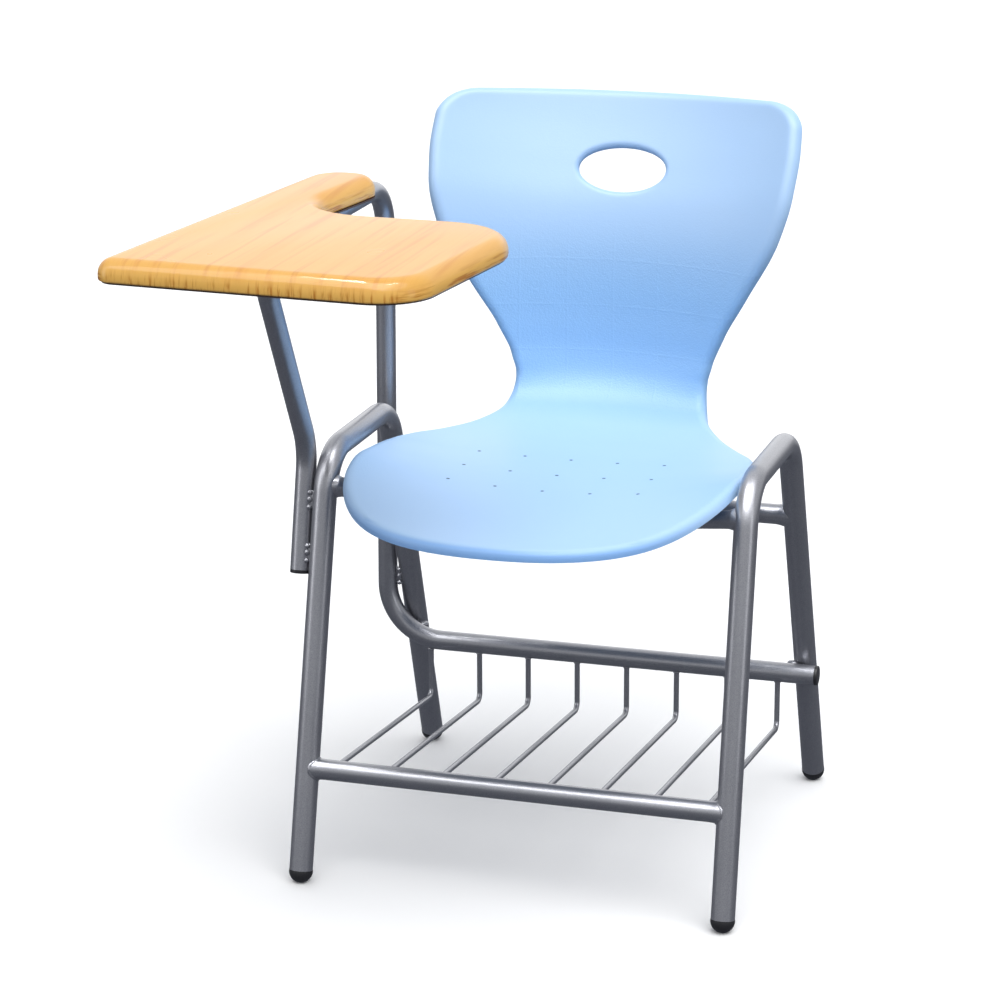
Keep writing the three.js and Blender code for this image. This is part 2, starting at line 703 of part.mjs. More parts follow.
// A pan-head screw that points up; its head's flat side is at the height given.
function screw(x, y, z, { length, head }) {
  const profile = [
    [0, -HEAD_H], [head * 0.6, 0.2 - HEAD_H], [head, -0.6], [head, 0], [SCREW_R, 0],
    [SCREW_R, length - 2], [0, length],
  ].map(([px, py]) => new THREE.Vector2(px, py));
  return new THREE.LatheGeometry(profile, 8).rotateX(Math.PI / 2).translate(x, y, z);
}

function screwHole(x, y, low, high) {
  const r = SCREW_R + GAP;
  const shape = new THREE.CylinderGeometry(r, r, high - low, 8);
  return toSolid(shape.rotateX(Math.PI / 2).translate(x, y, (low + high) / 2));
}

// The shell stands on four bosses, screwed from below to plates on the front
// rail and to folded brackets on the rear rail.
const PLATE_T = 3;
const PLATE_W = 36;
const FIX_X = 85;
const REAR_FIX_Y = 62;
const REAR_PLATE_Z = 409;
const BRACKET_REACH = 18;        // flange in front of the rear screw
const BRACKET_BACK = 4;          // web ahead of the rail's axis
const FRONT_PLATE_Y = [bowY - 32, bowY + 14];
const frontFixY = bowY - 20;
const frontPlateZ = bowZ + SEAT_RAIL_D / 2 + GAP;
const rearRailLine = [legPoint(-1, false, REAR_RAIL_Z), legPoint(1, false, REAR_RAIL_Z)];
const rearRailCutter = copeCutter(rearRailLine, [], CROSS_D);

function boss(x, y, plateTop) {
  const high = shellPoint(x, reachY(y)).z - SHELL_T / 2;
  const low = plateTop + GAP;
  const shape = new THREE.CylinderGeometry(12, 14, high - low, 16);
  return toSolid(shape.rotateX(Math.PI / 2).translate(x, y, (high + low) / 2));
}

// A folded bracket: an upright web on the rail and a flange under the boss.
function rearBracket(x) {
  const webBack = rearRailLine[0][1] - BRACKET_BACK;
  const webLow = REAR_RAIL_Z + CROSS_D / 2 - 1;
  const flangeTop = REAR_PLATE_Z + PLATE_T;
  const profile = new THREE.Shape([
    [webBack, webLow], [webBack, flangeTop], [REAR_FIX_Y - BRACKET_REACH, flangeTop],
    [REAR_FIX_Y - BRACKET_REACH, REAR_PLATE_Z], [webBack - PLATE_T, REAR_PLATE_Z],
    [webBack - PLATE_T, webLow],
  ].map(([y, z]) => new THREE.Vector2(y, z)));
  const bracket = new THREE.ExtrudeGeometry(profile, { depth: PLATE_W, bevelEnabled: false });
  const stand = new THREE.Matrix4().makeBasis(
    new THREE.Vector3(0, 1, 0), new THREE.Vector3(0, 0, 1), new THREE.Vector3(1, 0, 0));
  bracket.applyMatrix4(stand).translate(x - PLATE_W / 2, 0, 0);
  return toSolid(bracket).subtract(rearRailCutter);
}

const SEAT_HOLE_DEPTH = 4.6;     // blind hole above a plate, short of the seat's face
const TABLET_HOLE_DEPTH = 12;
const HEAD_ROOM = 9;
for (const [name, side] of SIDES) {
  const x = side * FIX_X;
  const frontTop = frontPlateZ + PLATE_T;
  const rearTop = REAR_PLATE_Z + PLATE_T;
  const frontHole = screwHole(x, frontFixY, frontPlateZ - HEAD_ROOM, frontTop + SEAT_HOLE_DEPTH);
  const rearHole = screwHole(x, REAR_FIX_Y, REAR_PLATE_Z - HEAD_ROOM, rearTop + SEAT_HOLE_DEPTH);
  shell = shell.add(boss(x, frontFixY, frontTop)).add(boss(x, REAR_FIX_Y, rearTop));
  shell = shell.subtract(frontHole).subtract(rearHole);
  const plate = toSolid(
    box([x - PLATE_W / 2, x + PLATE_W / 2], FRONT_PLATE_Y, [frontPlateZ, frontTop]));
  addPiece(`seat_plate_front_${name}`, toGeometry(plate.subtract(frontHole)), FRAME_PAINT);
  addPiece(`seat_bracket_rear_${name}`, toGeometry(rearBracket(x).subtract(rearHole)), FRAME_PAINT);
  addPiece(`seat_screw_front_${name}`, screw(x, frontFixY, frontPlateZ - GAP, SEAT_SCREW), ZINC);
  addPiece(`seat_screw_rear_${name}`, screw(x, REAR_FIX_Y, REAR_PLATE_Z - GAP, SEAT_SCREW), ZINC);
}
addPiece('seat_shell', toGeometry(shell), SHELL_PLASTIC);

// The tablet is screwed to three flat strips welded on top of the arm's run.
// The front one is bent like an L in plan, and carries the writing surface
// ahead of the arm. Places are [x from the arm's axis, y].
const STRIP_W = 26;
const STRIP_END = 28;
const STRIP_SCREW_X = 19;
const FRONT_STRIP = { back: -120, front: -300, reach: 170 };
const FRONT_SCREWS = [[0, -235], [0, -287], [155, -287]];
const CROSS_STRIP_Y = { middle: -95, rear: -22 };

const frontStripCorner = FRONT_STRIP.front + STRIP_W;
const strips = {
  front: {
    outline: [
      [-STRIP_W / 2, FRONT_STRIP.front], [FRONT_STRIP.reach, FRONT_STRIP.front],
      [FRONT_STRIP.reach, frontStripCorner], [STRIP_W / 2, frontStripCorner],
      [STRIP_W / 2, FRONT_STRIP.back], [-STRIP_W / 2, FRONT_STRIP.back],
    ],
    screws: FRONT_SCREWS,
  },
};
for (const [name, y] of Object.entries(CROSS_STRIP_Y)) {
  strips[name] = {
    outline: [
      [-STRIP_END, y - STRIP_W / 2], [STRIP_END, y - STRIP_W / 2],
      [STRIP_END, y + STRIP_W / 2], [-STRIP_END, y + STRIP_W / 2],
    ],
    screws: [[-STRIP_SCREW_X, y], [STRIP_SCREW_X, y]],
  };
}
const stripLow = ARM_RUN_Z + ARM_D / 2 + GAP;
const stripHigh = TABLET_BASE_Z - GAP;
let board = toSolid(loft(boardLoops));
let backing = toSolid(loft(backingLevels));
for (const [name, { outline, screws }] of Object.entries(strips)) {
  const shape = new THREE.Shape(outline.map(([x, y]) => new THREE.Vector2(ARM_X + x, y)));
  const depth = stripHigh - stripLow;
  const plate = new THREE.ExtrudeGeometry(shape, { depth, bevelEnabled: false });
  let strip = toSolid(plate.translate(0, 0, stripLow));
  screws.forEach(([offset, y], i) => {
    const x = ARM_X + offset;
    const hole = screwHole(x, y, stripLow - HEAD_ROOM, stripLow + TABLET_HOLE_DEPTH + 1);
    strip = strip.subtract(hole);
    board = board.subtract(hole);
    backing = backing.subtract(hole);
    addPiece(`tablet_screw_${name}_${i + 1}`, screw(x, y, stripLow - GAP, TABLET_SCREW), ZINC);
  });
  addPiece(`tablet_strip_${name}`, toGeometry(strip), FRAME_PAINT);
}
addPiece('tablet_top', toGeometry(board), TABLET_LAMINATE);
addPiece('tablet_backing', toGeometry(backing), BACKING_DARK);

// ---------------------------------------------------------------- placing

const extent = new THREE.Box3().setFromObject(chair);
const middle = extent.getCenter(new THREE.Vector3());
chair.position.set(-middle.x, -middle.y, -extent.min.z);
chair.updateMatrixWorld(true);

export default chair;
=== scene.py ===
# %% [markdown]
# # A student desk chair with a fixed writing tablet
# The chair is a moulded plastic shell on a welded frame of bent steel tube,
# with a wire book rack under the seat and a laminate tablet on a bent arm.
# Its exact sizes already exist as a technical model. This lesson loads that
# model as a fixed frame, and makes each visible part again with the small
# details that light needs: rolled rims, weld beads, rounded edges and grain.

# %% Load the technical model
import math

import bmesh
import bpy
import numpy as np
from mathutils import Matrix, Vector


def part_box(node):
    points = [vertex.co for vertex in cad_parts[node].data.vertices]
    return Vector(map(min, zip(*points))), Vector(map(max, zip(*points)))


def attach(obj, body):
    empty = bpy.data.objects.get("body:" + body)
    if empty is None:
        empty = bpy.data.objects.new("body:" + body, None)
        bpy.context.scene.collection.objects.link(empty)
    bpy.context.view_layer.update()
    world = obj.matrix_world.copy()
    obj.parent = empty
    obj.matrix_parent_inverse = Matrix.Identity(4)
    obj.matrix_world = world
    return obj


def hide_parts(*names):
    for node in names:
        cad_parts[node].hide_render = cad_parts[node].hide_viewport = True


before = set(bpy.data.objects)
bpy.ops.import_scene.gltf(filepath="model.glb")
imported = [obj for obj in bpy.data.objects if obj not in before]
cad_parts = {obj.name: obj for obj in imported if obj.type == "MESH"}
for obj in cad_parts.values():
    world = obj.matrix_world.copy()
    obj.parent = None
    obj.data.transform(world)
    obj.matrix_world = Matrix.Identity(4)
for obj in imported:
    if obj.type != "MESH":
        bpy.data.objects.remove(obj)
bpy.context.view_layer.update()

print("loaded", len(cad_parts), "parts")

# %% [markdown]
# ## Measuring from the middle of the chair
# A chair is drawn from its middle plane and its floor, in millimetres. The
# loaded model has its own zero, so one helper turns a maker's measure
# (across, back, up) into Blender's metres. The front stretcher tells where the
# middle is, because it joins both front legs at a known depth.

# %% From a maker's millimetres to Blender's metres
MM = 0.001
STRETCHER_Y = -199.32
low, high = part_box("front_stretcher")
MIDDLE = Vector(((low.x + high.x) / 2, (low.y + high.y) / 2 - STRETCHER_Y * MM, 0))


def place(x, y, z):
    """A point measured in millimetres from the middle of the chair."""
    return MIDDLE + Vector((x, y, z)) * MM


print("middle of the chair:", [round(v, 4) for v in MIDDLE])

# %% [markdown]
# ## Small helpers for working in edit mode
# Operators act on whatever is selected, and a fresh file often has everything
# selected. So each piece starts by clearing the selection, and inside edit
# mode a test in code picks the faces, edges or points, which is repeatable
# where a mouse click is not. The last helper hands a finished piece over: it
# names it, gives it its finish and the body it moves with, and hides the
# technical part it stands for.

# %% Helpers: a clean start, edit mode and picking


def start_clean():
    """Leaves edit mode and deselects every object."""
    if bpy.context.mode != "OBJECT":
        bpy.ops.object.mode_set(mode="OBJECT")
    bpy.ops.object.select_all(action="DESELECT")


def edit(mode="VERT"):
    """Goes into edit mode, working on points, edges or faces."""
    bpy.ops.object.mode_set(mode="EDIT")
    bpy.ops.mesh.select_mode(type=mode)


def pick(kind, test):
    """In edit mode, selects only the verts, edges or faces that pass a test."""
    mesh = bpy.context.object.data
    bpy.ops.mesh.select_mode(type={"verts": "VERT", "edges": "EDGE", "faces": "FACE"}[kind])
    bpy.ops.mesh.select_all(action="DESELECT")
    shape = bmesh.from_edit_mesh(mesh)
    chosen = [item for item in getattr(shape, kind) if test(item)]
    for item in chosen:
        item.select_set(True)
    shape.select_flush_mode()
    bmesh.update_edit_mesh(mesh)
    return len(chosen)


start_clean()
print("selected after a clean start:", len(bpy.context.selected_objects))

# %% Helpers: settle, mend, hand over and aim


def settle():
    """Puts the object's place into its mesh, and returns the object."""
    if bpy.context.mode != "OBJECT":
        bpy.ops.object.mode_set(mode="OBJECT")
    bpy.ops.object.transform_apply(location=True, rotation=True, scale=True)
    return bpy.context.object


def mend():
    """Merges doubled points and turns every face outwards."""
    if bpy.context.mode != "EDIT":
        bpy.ops.object.mode_set(mode="EDIT")
    bpy.ops.mesh.select_all(action="SELECT")
    bpy.ops.mesh.remove_doubles(threshold=1e-6)
    bpy.ops.mesh.normals_make_consistent(inside=False)
    bpy.ops.object.mode_set(mode="OBJECT")


def hand_over(piece, name, finish, slot, *nodes):
    """Names a piece, gives it its finish and ties it to the frame."""
    piece.name = name
    piece.data.name = name
    piece.data.materials.clear()
    piece.data.materials.append(finish)
    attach(piece, "root")
    if nodes:
        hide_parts(*nodes)
    print(name, len(piece.data.polygons), "faces")
    return piece


def aim(direction):
    """The turn that points a primitive's own Z axis along a direction."""
    return Vector(direction).to_track_quat("Z", "Y").to_euler()


print("the turn to lie along X:", [round(v, 3) for v in aim((1, 0, 0))])

# %% [markdown]
# ## The camera
# The chair is seen from a little above and from its front left. A short lens
# close by would spread the legs, so a long lens from over three metres away
# keeps them nearly parallel. The camera is turned in three plain steps: round
# the chair, down towards it, and a small roll.

# %% Camera
camera_data = bpy.data.cameras.new("camera")
camera = bpy.data.objects.new("camera", camera_data)
bpy.context.scene.collection.objects.link(camera)
bpy.context.scene.camera = camera
camera_data.lens = 118.98
camera_data.sensor_width = 36
camera_data.clip_end = 1000
camera.location = place(932.2, -3264.1, 1385.3)
camera.rotation_mode = "QUATERNION"
azimuth, elevation, roll = (math.radians(v) for v in (17.16, 16.54, -0.26))
look = Vector((
    -math.sin(azimuth) * math.cos(elevation),
    math.cos(azimuth) * math.cos(elevation),
    -math.sin(elevation),
))
level = look.to_track_quat("-Z", "Y")
camera.rotation_quaternion = level @ Matrix.Rotation(roll, 4, "Z").to_quaternion()
bpy.context.scene.view_settings.view_transform = "Standard"
print("camera at", [round(v, 3) for v in camera.location])

# %% [markdown]
# ## The floor
# A studio floor is a paper sweep with no visible end. A curved sweep would
# only suit one camera, so a very large flat sheet does the same from any side.
# It sits a hair below the feet, so that the two faces never share a place. It
# is hidden from reflections and bounced light, because a white sheet under a
# metal chair would take away the dark undersides that show its roundness.

# %% Floor
FLOOR_SIZE, FLOOR_DROP = 800, 0.0002
start_clean()
bpy.ops.mesh.primitive_plane_add(
    size=FLOOR_SIZE, location=(MIDDLE.x, MIDDLE.y, -FLOOR_DROP))
floor = settle()
floor.name = "floor"
floor.visible_glossy = False
floor.visible_diffuse = False
floor_finish = bpy.data.materials.new("floor_finish")
floor_finish.use_nodes = True
floor_shader = floor_finish.node_tree.nodes["Principled BSDF"]
floor_shader.inputs["Base Color"].default_value = (0.98, 0.98, 0.98, 1)
floor_shader.inputs["Roughness"].default_value = 0.9
floor_shader.inputs["Specular IOR Level"].default_value = 0.0
floor.data.materials.append(floor_finish)
print("floor of", round(floor.dimensions.x), "m")

# %% [markdown]
# ## The sky and the lamps
# Painted metal mostly shows what is around it. An even white sky would make it
# look like paper, so the sky is pale above and dark below the horizon. One
# wide soft sun lights the seat and the tablet and gives a faint shadow, and a
# weak one from behind keeps the back readable. The panels are only seen as
# reflections: they draw the bright stripes along the tubes and the sheen on
# the tablet, without changing how light or dark anything is.

# %% Sky: pale above the horizon, dark below it
sky = bpy.data.worlds.new("sky")
bpy.context.scene.world = sky
sky.use_nodes = True
nodes, links = sky.node_tree.nodes, sky.node_tree.links
where = nodes.new("ShaderNodeTexCoord")
parts = nodes.new("ShaderNodeSeparateXYZ")
ramp = nodes.new("ShaderNodeValToRGB")
background = nodes["Background"]
links.new(where.outputs["Generated"], parts.inputs[0])
links.new(parts.outputs["Z"], ramp.inputs["Fac"])
links.new(ramp.outputs["Color"], background.inputs["Color"])
ramp.color_ramp.elements[0].position = 0.0
ramp.color_ramp.elements[0].color = (0.15, 0.16, 0.19, 1)
ramp.color_ramp.elements[1].position = 0.10
ramp.color_ramp.elements[1].color = (0.66, 0.67, 0.69, 1)
background.inputs["Strength"].default_value = 1.0
print("sky colours:", [[round(v, 2) for v in e.color[:3]] for e in ramp.color_ramp.elements])

# %% Helpers for the lamps


def soft_sun(name, toward, strength, spread):
    """A sun that shines toward a direction, with a wide soft disc."""
    lamp = bpy.data.objects.new(name, bpy.data.lights.new(name, "SUN"))
    bpy.context.scene.collection.objects.link(lamp)
    lamp.data.energy = strength
    lamp.data.angle = math.radians(spread)
    lamp.rotation_euler = Vector(toward).to_track_quat("-Z", "Y").to_euler()


def soft_panel(name, spot, target, size, strength):
    """A panel of light that is only seen as a reflection, as a studio's is."""
    lamp = bpy.data.objects.new(name, bpy.data.lights.new(name, "AREA"))
    bpy.context.scene.collection.objects.link(lamp)
    lamp.data.shape = "RECTANGLE"
    lamp.data.size, lamp.data.size_y = size
    lamp.data.energy = strength
    lamp.location = place(*spot)
    toward = place(*target) - lamp.location
    lamp.rotation_euler = toward.to_track_quat("-Z", "Y").to_euler()
    lamp.visible_camera = False
    lamp.visible_diffuse = False
    print(name, "is", round(toward.length, 2), "m from what it lights")


# %% Lamps
SEAT_MIDDLE, TABLET_MIDDLE = (0, 0, 450), (0, 150, 600)
soft_sun("key", (-0.30, 0.38, -0.93), 2.05, 60)
soft_sun("fill_behind", (0.25, -0.85, -0.40), 0.45, 90)
soft_panel("left_panel", (-2000, -1300, 1300), SEAT_MIDDLE, (0.8, 2.0), 13)
soft_panel("right_panel", (2200, -900, 900), SEAT_MIDDLE, (0.6, 1.6), 5)
soft_panel("back_panel", (-900, 3000, 1150), SEAT_MIDDLE, (4.5, 1.5), 9)
soft_panel("top_panel", (-300, -1300, 2700), TABLET_MIDDLE, (2.4, 1.8), 62)
soft_panel("ceiling_lamp_left", (-900, -300, 3000), SEAT_MIDDLE, (0.6, 0.16), 14)
soft_panel("ceiling_lamp_right", (500, -500, 3000), SEAT_MIDDLE, (0.6, 0.16), 14)

# %% [markdown]
# ## Finishes built from shared patterns
# A finish is a shader with a pattern behind it. A pattern that several finishes
# need is a node group with named inputs and outputs, so that one change
# reaches them all. Here that is a fine speckle with wide patches, which paint,
# plastic, zinc and laminate each use at their own scale. The shader itself
# stays in each finish. Wiring nodes by hand in code is long, so a few helpers
# make one node each and return its output.

# %% A helper to start a node group


def new_group(name, inputs, outputs):
    """A node group with named sockets, given as (name, kind, value)."""
    group = bpy.data.node_groups.new(name, "ShaderNodeTree")
    for title, kind, value in inputs:
        socket = group.interface.new_socket(title, in_out="INPUT", socket_type=kind)
        if value is not None:
            socket.default_value = value
    for title, kind in outputs:
        group.interface.new_socket(title, in_out="OUTPUT", socket_type=kind)
    entry = group.nodes.new("NodeGroupInput")
    leave = group.nodes.new("NodeGroupOutput")
    print("group", name, "has inputs", [title for title, _, _ in inputs])
    return group, entry, leave


# %% Helpers that add one node each


def add_node(tree, kind, **settings):
    """Adds a node, sets its properties, and fills its inputs by name."""
    node = tree.nodes.new(kind)
    for key, value in settings.items():
        if hasattr(node, key):
            setattr(node, key, value)
        else:
            node.inputs[key.replace("_", " ")].default_value = value
    return node


def math_node(tree, operation, a, b=None, c=None, clamp=False):
    """A Math node fed with sockets or plain numbers."""
    node = tree.nodes.new("ShaderNodeMath")
    node.operation = operation
    node.use_clamp = clamp
    for socket, value in zip(node.inputs, (a, b, c)):
        if value is None:
            continue
        if isinstance(value, (int, float)):
            socket.default_value = value
        else:
            tree.links.new(value, socket)
    return node.outputs[0]


def soft_step(tree, value, start, end):
    """Goes smoothly from 0 to 1 as a value goes from start to end."""
    node = tree.nodes.new("ShaderNodeMapRange")
    node.interpolation_type = "SMOOTHSTEP"
    node.inputs["From Min"].default_value = start
    node.inputs["From Max"].default_value = end
    tree.links.new(value, node.inputs["Value"])
    return node.outputs["Result"]


def mix_colour(tree, factor, a, b, blend="MIX"):
    """Mixes two colours, each a socket or four numbers."""
    node = tree.nodes.new("ShaderNodeMix")
    node.data_type = "RGBA"
    node.blend_type = blend
    colours = [socket for socket in node.inputs if socket.type == "RGBA"]
    for target, value in zip([node.inputs["Factor"]] + colours, (factor, a, b)):
        if isinstance(value, (int, float, tuple)):
            target.default_value = value
        else:
            tree.links.new(value, target)
    return [s for s in node.outputs if s.type == "RGBA"][0]


print("helpers:", [f.__name__ for f in (add_node, math_node, soft_step, mix_colour)])

# %% Speckle: a fine unevenness with a matching bump height
speckle, entry, leave = new_group(
    "speckle",
    [("Vector", "NodeSocketVector", None), ("Scale", "NodeSocketFloat", 600.0),
     ("Contrast", "NodeSocketFloat", 1.0)],
    [("Mask", "NodeSocketFloat"), ("Patches", "NodeSocketFloat")],
)
fine = add_node(speckle, "ShaderNodeTexNoise", Detail=3.0, Roughness=0.6)
wide = add_node(speckle, "ShaderNodeTexNoise", Scale=9.0, Detail=2.0)
for texture in (fine, wide):
    speckle.links.new(entry.outputs["Vector"], texture.inputs["Vector"])
speckle.links.new(entry.outputs["Scale"], fine.inputs["Scale"])
centred = math_node(speckle, "SUBTRACT", fine.outputs["Fac"], 0.5)
scaled = math_node(speckle, "MULTIPLY", centred, entry.outputs["Contrast"])
speckle.links.new(math_node(speckle, "ADD", scaled, 0.5, clamp=True), leave.inputs["Mask"])
speckle.links.new(wide.outputs["Fac"], leave.inputs["Patches"])
print("speckle group has", len(speckle.nodes), "nodes")

# %% A helper to start a finish


def new_finish(name):
    """A material with its shader and a speckle on object coordinates."""
    finish = bpy.data.materials.new(name)
    finish.use_nodes = True
    tree = finish.node_tree
    shader = tree.nodes["Principled BSDF"]
    spot = tree.nodes.new("ShaderNodeTexCoord")
    grain = tree.nodes.new("ShaderNodeGroup")
    grain.node_tree = speckle
    tree.links.new(spot.outputs["Object"], grain.inputs["Vector"])
    return finish, tree, shader, spot, grain


def bump(tree, shader, height, strength, distance, below=None):
    """Turns a height pattern into a bump on the shader's normal."""
    node = tree.nodes.new("ShaderNodeBump")
    node.inputs["Strength"].default_value = strength
    node.inputs["Distance"].default_value = distance
    tree.links.new(height, node.inputs["Height"])
    if below is not None:
        tree.links.new(below, node.inputs["Normal"])
    tree.links.new(node.outputs["Normal"], shader.inputs["Normal"])
    return node.outputs["Normal"]


print("helpers:", [f.__name__ for f in (new_finish, bump)])

# %% [markdown]
# ## Frame paint
# The frame is steel with a baked silver-grey powder paint: tiny metal flakes
# in a clear layer. A plain grey metal would look like bare steel. So the base
# is mostly metallic, a fine speckle varies it between two greys, wide patches
# change its shine a little, and a thin coat lies on top. Powder paint never
# dries quite flat, which a very low, soft bump repeats.

# %% Frame paint: silver-grey with metal flake
frame_paint, tree, shader, spot, grain = new_finish("frame_paint")
grain.inputs["Scale"].default_value = 1500
grain.inputs["Contrast"].default_value = 1.6
shader.inputs["Metallic"].default_value = 0.85
shader.inputs["Coat Weight"].default_value = 0.5
shader.inputs["Coat Roughness"].default_value = 0.14
flake = mix_colour(tree, grain.outputs["Mask"], (0.21, 0.22, 0.26, 1), (0.52, 0.52, 0.54, 1))
shade = mix_colour(tree, 0.10, flake, grain.outputs["Patches"], "MULTIPLY")
tree.links.new(shade, shader.inputs["Base Color"])
rough = math_node(tree, "MULTIPLY_ADD", grain.outputs["Patches"], 0.12, 0.30)
tree.links.new(rough, shader.inputs["Roughness"])
peel = add_node(tree, "ShaderNodeTexNoise", Scale=380.0, Detail=1.0)
tree.links.new(spot.outputs["Object"], peel.inputs["Vector"])
bump(tree, shader, peel.outputs["Fac"], 0.25, 0.00025)
print("frame paint has", len(tree.nodes), "nodes")

# %% [markdown]
# ## Shell plastic
# The shell is sky-blue polypropylene. The grained small of the back looks
# deeper than the smoother seat and top, and so does the lip that faces
# forward. In the small of the back the deeper blue is partly the grain and
# partly painted shade, on the lip it is painted shade, and the paler blue of
# the seat and top is partly painted sheen. Separate finishes would leave a
# hard line, so soft masks on the height and on the way a face looks mix the
# colours in one finish. The vents' edges are painted dark, as painted shade
# in the holes. The grain is a low pebble bump, strongest where the mask
# says, and the mould leaves faint raised lines a vent's pitch apart.

# %% Shell plastic: colour by place
shell_plastic, tree, shader, spot, grain = new_finish("shell_plastic")
grain.inputs["Scale"].default_value = 420
axes = tree.nodes.new("ShaderNodeSeparateXYZ")
tree.links.new(spot.outputs["Object"], axes.inputs[0])
GRAIN_LOW, GRAIN_HIGH = (0.418, 0.462), (0.665, 0.560)
rises = soft_step(tree, axes.outputs["Z"], *GRAIN_LOW)
fades = soft_step(tree, axes.outputs["Z"], *GRAIN_HIGH)
lumbar = math_node(tree, "MULTIPLY", rises, fades)
# Painted light: the paler blues stand partly for sheen, and the grained blue is partly painted
# shade.
light_blue, lighter_blue = (0.430, 0.660, 0.975, 1), (0.460, 0.685, 0.99, 1)
grained_and_shaded_blue, painted_shade_lip_blue = (0.345, 0.615, 0.975, 1), (0.270, 0.520, 0.950, 1)
cloudy = mix_colour(tree, grain.outputs["Patches"], light_blue, lighter_blue)
shell_colour = mix_colour(tree, lumbar, cloudy, grained_and_shaded_blue)
facing = tree.nodes.new("ShaderNodeNewGeometry")
parts_of_normal = tree.nodes.new("ShaderNodeSeparateXYZ")
tree.links.new(facing.outputs["Normal"], parts_of_normal.inputs[0])
# The lip that faces forward gets a deeper blue: painted shade.
forward = soft_step(tree, parts_of_normal.outputs["Y"], -0.30, -0.80)
on_seat = soft_step(tree, axes.outputs["Z"], 0.455, 0.440)
lip_shade_mask = math_node(tree, "MULTIPLY", forward, on_seat)
shell_colour = mix_colour(tree, lip_shade_mask, shell_colour, painted_shade_lip_blue)
print("full grain from", GRAIN_LOW[1], "m to", GRAIN_HIGH[1], "m above the floor")

# %% Shell plastic: painted shade in the vents, which repeat at one pitch each way
VENT_PITCH = (51.5, 54.9)
VENT_MIDDLE_Y = -41.3
sideways = math_node(tree, "SUBTRACT", axes.outputs["X"], MIDDLE.x)
backways = math_node(tree, "SUBTRACT", axes.outputs["Y"], MIDDLE.y + VENT_MIDDLE_Y * MM)
near_x = math_node(tree, "PINGPONG", sideways, VENT_PITCH[0] * MM / 2)
near_y = math_node(tree, "PINGPONG", backways, VENT_PITCH[1] * MM / 2)
away = math_node(tree, "SQRT", math_node(
    tree, "ADD", math_node(tree, "POWER", near_x, 2.0), math_node(tree, "POWER", near_y, 2.0)))
at_vent = soft_step(tree, away, 0.0024, 0.0015)
in_rows = math_node(tree, "LESS_THAN", math_node(tree, "ABSOLUTE", backways), 0.070)
in_columns = math_node(tree, "LESS_THAN", math_node(tree, "ABSOLUTE", sideways), 0.115)
vent_shade = math_node(tree, "MULTIPLY", at_vent, math_node(tree, "MULTIPLY", in_rows, in_columns))
# Painted shade: the vents' edges are darkened to stand for shade in the holes.
shell_colour = mix_colour(tree, vent_shade, shell_colour, (0.045, 0.12, 0.26, 1))
tree.links.new(shell_colour, shader.inputs["Base Color"])
print("vent pitch", VENT_PITCH, "mm")

# %% Shell plastic: pebble grain
PEBBLES_PER_METRE = 620.0
pebble = add_node(
    tree, "ShaderNodeTexVoronoi", feature="SMOOTH_F1", Scale=PEBBLES_PER_METRE, Smoothness=0.6)
wobble = add_node(tree, "ShaderNodeTexNoise", Scale=260.0, Detail=2.0)
tree.links.new(spot.outputs["Object"], pebble.inputs["Vector"])
tree.links.new(spot.outputs["Object"], wobble.inputs["Vector"])
pebble_height = math_node(tree, "ADD", pebble.outputs["Distance"], wobble.outputs["Fac"])
amount = math_node(tree, "MULTIPLY_ADD", lumbar, 0.85, 0.15)
relief = math_node(tree, "MULTIPLY", pebble_height, amount)
grained = bump(tree, shader, relief, 0.50, 0.0006)
rough = math_node(tree, "MULTIPLY_ADD", grain.outputs["Mask"], 0.10, 0.42)
tree.links.new(rough, shader.inputs["Roughness"])
print("pebbles of about", round(1000 / PEBBLES_PER_METRE, 1), "mm")

# %% Shell plastic: faint raised lines from the mould
LINE_PITCH = VENT_PITCH[0] * MM
FIRST_LINE_Z = 0.4980
upward = math_node(tree, "SUBTRACT", axes.outputs["Z"], FIRST_LINE_Z)
lines = []
for value in (sideways, upward):
    wobbly = math_node(tree, "MULTIPLY_ADD", wobble.outputs["Fac"], 0.0012, value)
    near = math_node(tree, "PINGPONG", wobbly, LINE_PITCH / 2)
    line = tree.nodes.new("ShaderNodeMapRange")
    line.inputs["From Min"].default_value = 0.0016
    line.inputs["From Max"].default_value = 0.0002
    tree.links.new(near, line.inputs["Value"])
    lines.append(line.outputs["Result"])
crossed = math_node(tree, "MAXIMUM", lines[0], lines[1])
marked = math_node(tree, "MULTIPLY", crossed, lumbar)
bump(tree, shader, marked, 0.35, 0.0004, grained)
print("shell plastic has", len(tree.nodes), "nodes")

# %% [markdown]
# ## Black plastic, zinc and the backing sheet
# The feet and end plugs are black plastic, which is never quite black, so a
# fine speckle runs between two very dark greys. The screws are zinc plated:
# bright metal whose shine changes in patches. The backing sheet is dark brown
# phenolic paper, dull and slightly uneven. All three share the speckle group.

# %% Black plastic
black_plastic, tree, shader, spot, grain = new_finish("black_plastic")
grain.inputs["Scale"].default_value = 900
dark = mix_colour(tree, grain.outputs["Mask"], (0.010, 0.010, 0.012, 1), (0.030, 0.030, 0.034, 1))
tree.links.new(dark, shader.inputs["Base Color"])
rough = math_node(tree, "MULTIPLY_ADD", grain.outputs["Mask"], 0.25, 0.30)
tree.links.new(rough, shader.inputs["Roughness"])
bump(tree, shader, grain.outputs["Mask"], 0.3, 0.0002)
print("black plastic has", len(tree.nodes), "nodes")

# %% Zinc plating
zinc, tree, shader, spot, grain = new_finish("zinc")
grain.inputs["Scale"].default_value = 1100
shader.inputs["Metallic"].default_value = 1.0
plate = mix_colour(tree, grain.outputs["Mask"], (0.42, 0.43, 0.45, 1), (0.66, 0.67, 0.66, 1))
tree.links.new(plate, shader.inputs["Base Color"])
rough = math_node(tree, "MULTIPLY_ADD", grain.outputs["Patches"], 0.3, 0.2)
tree.links.new(rough, shader.inputs["Roughness"])
bump(tree, shader, grain.outputs["Mask"], 0.2, 0.0002)
print("zinc has", len(tree.nodes), "nodes")

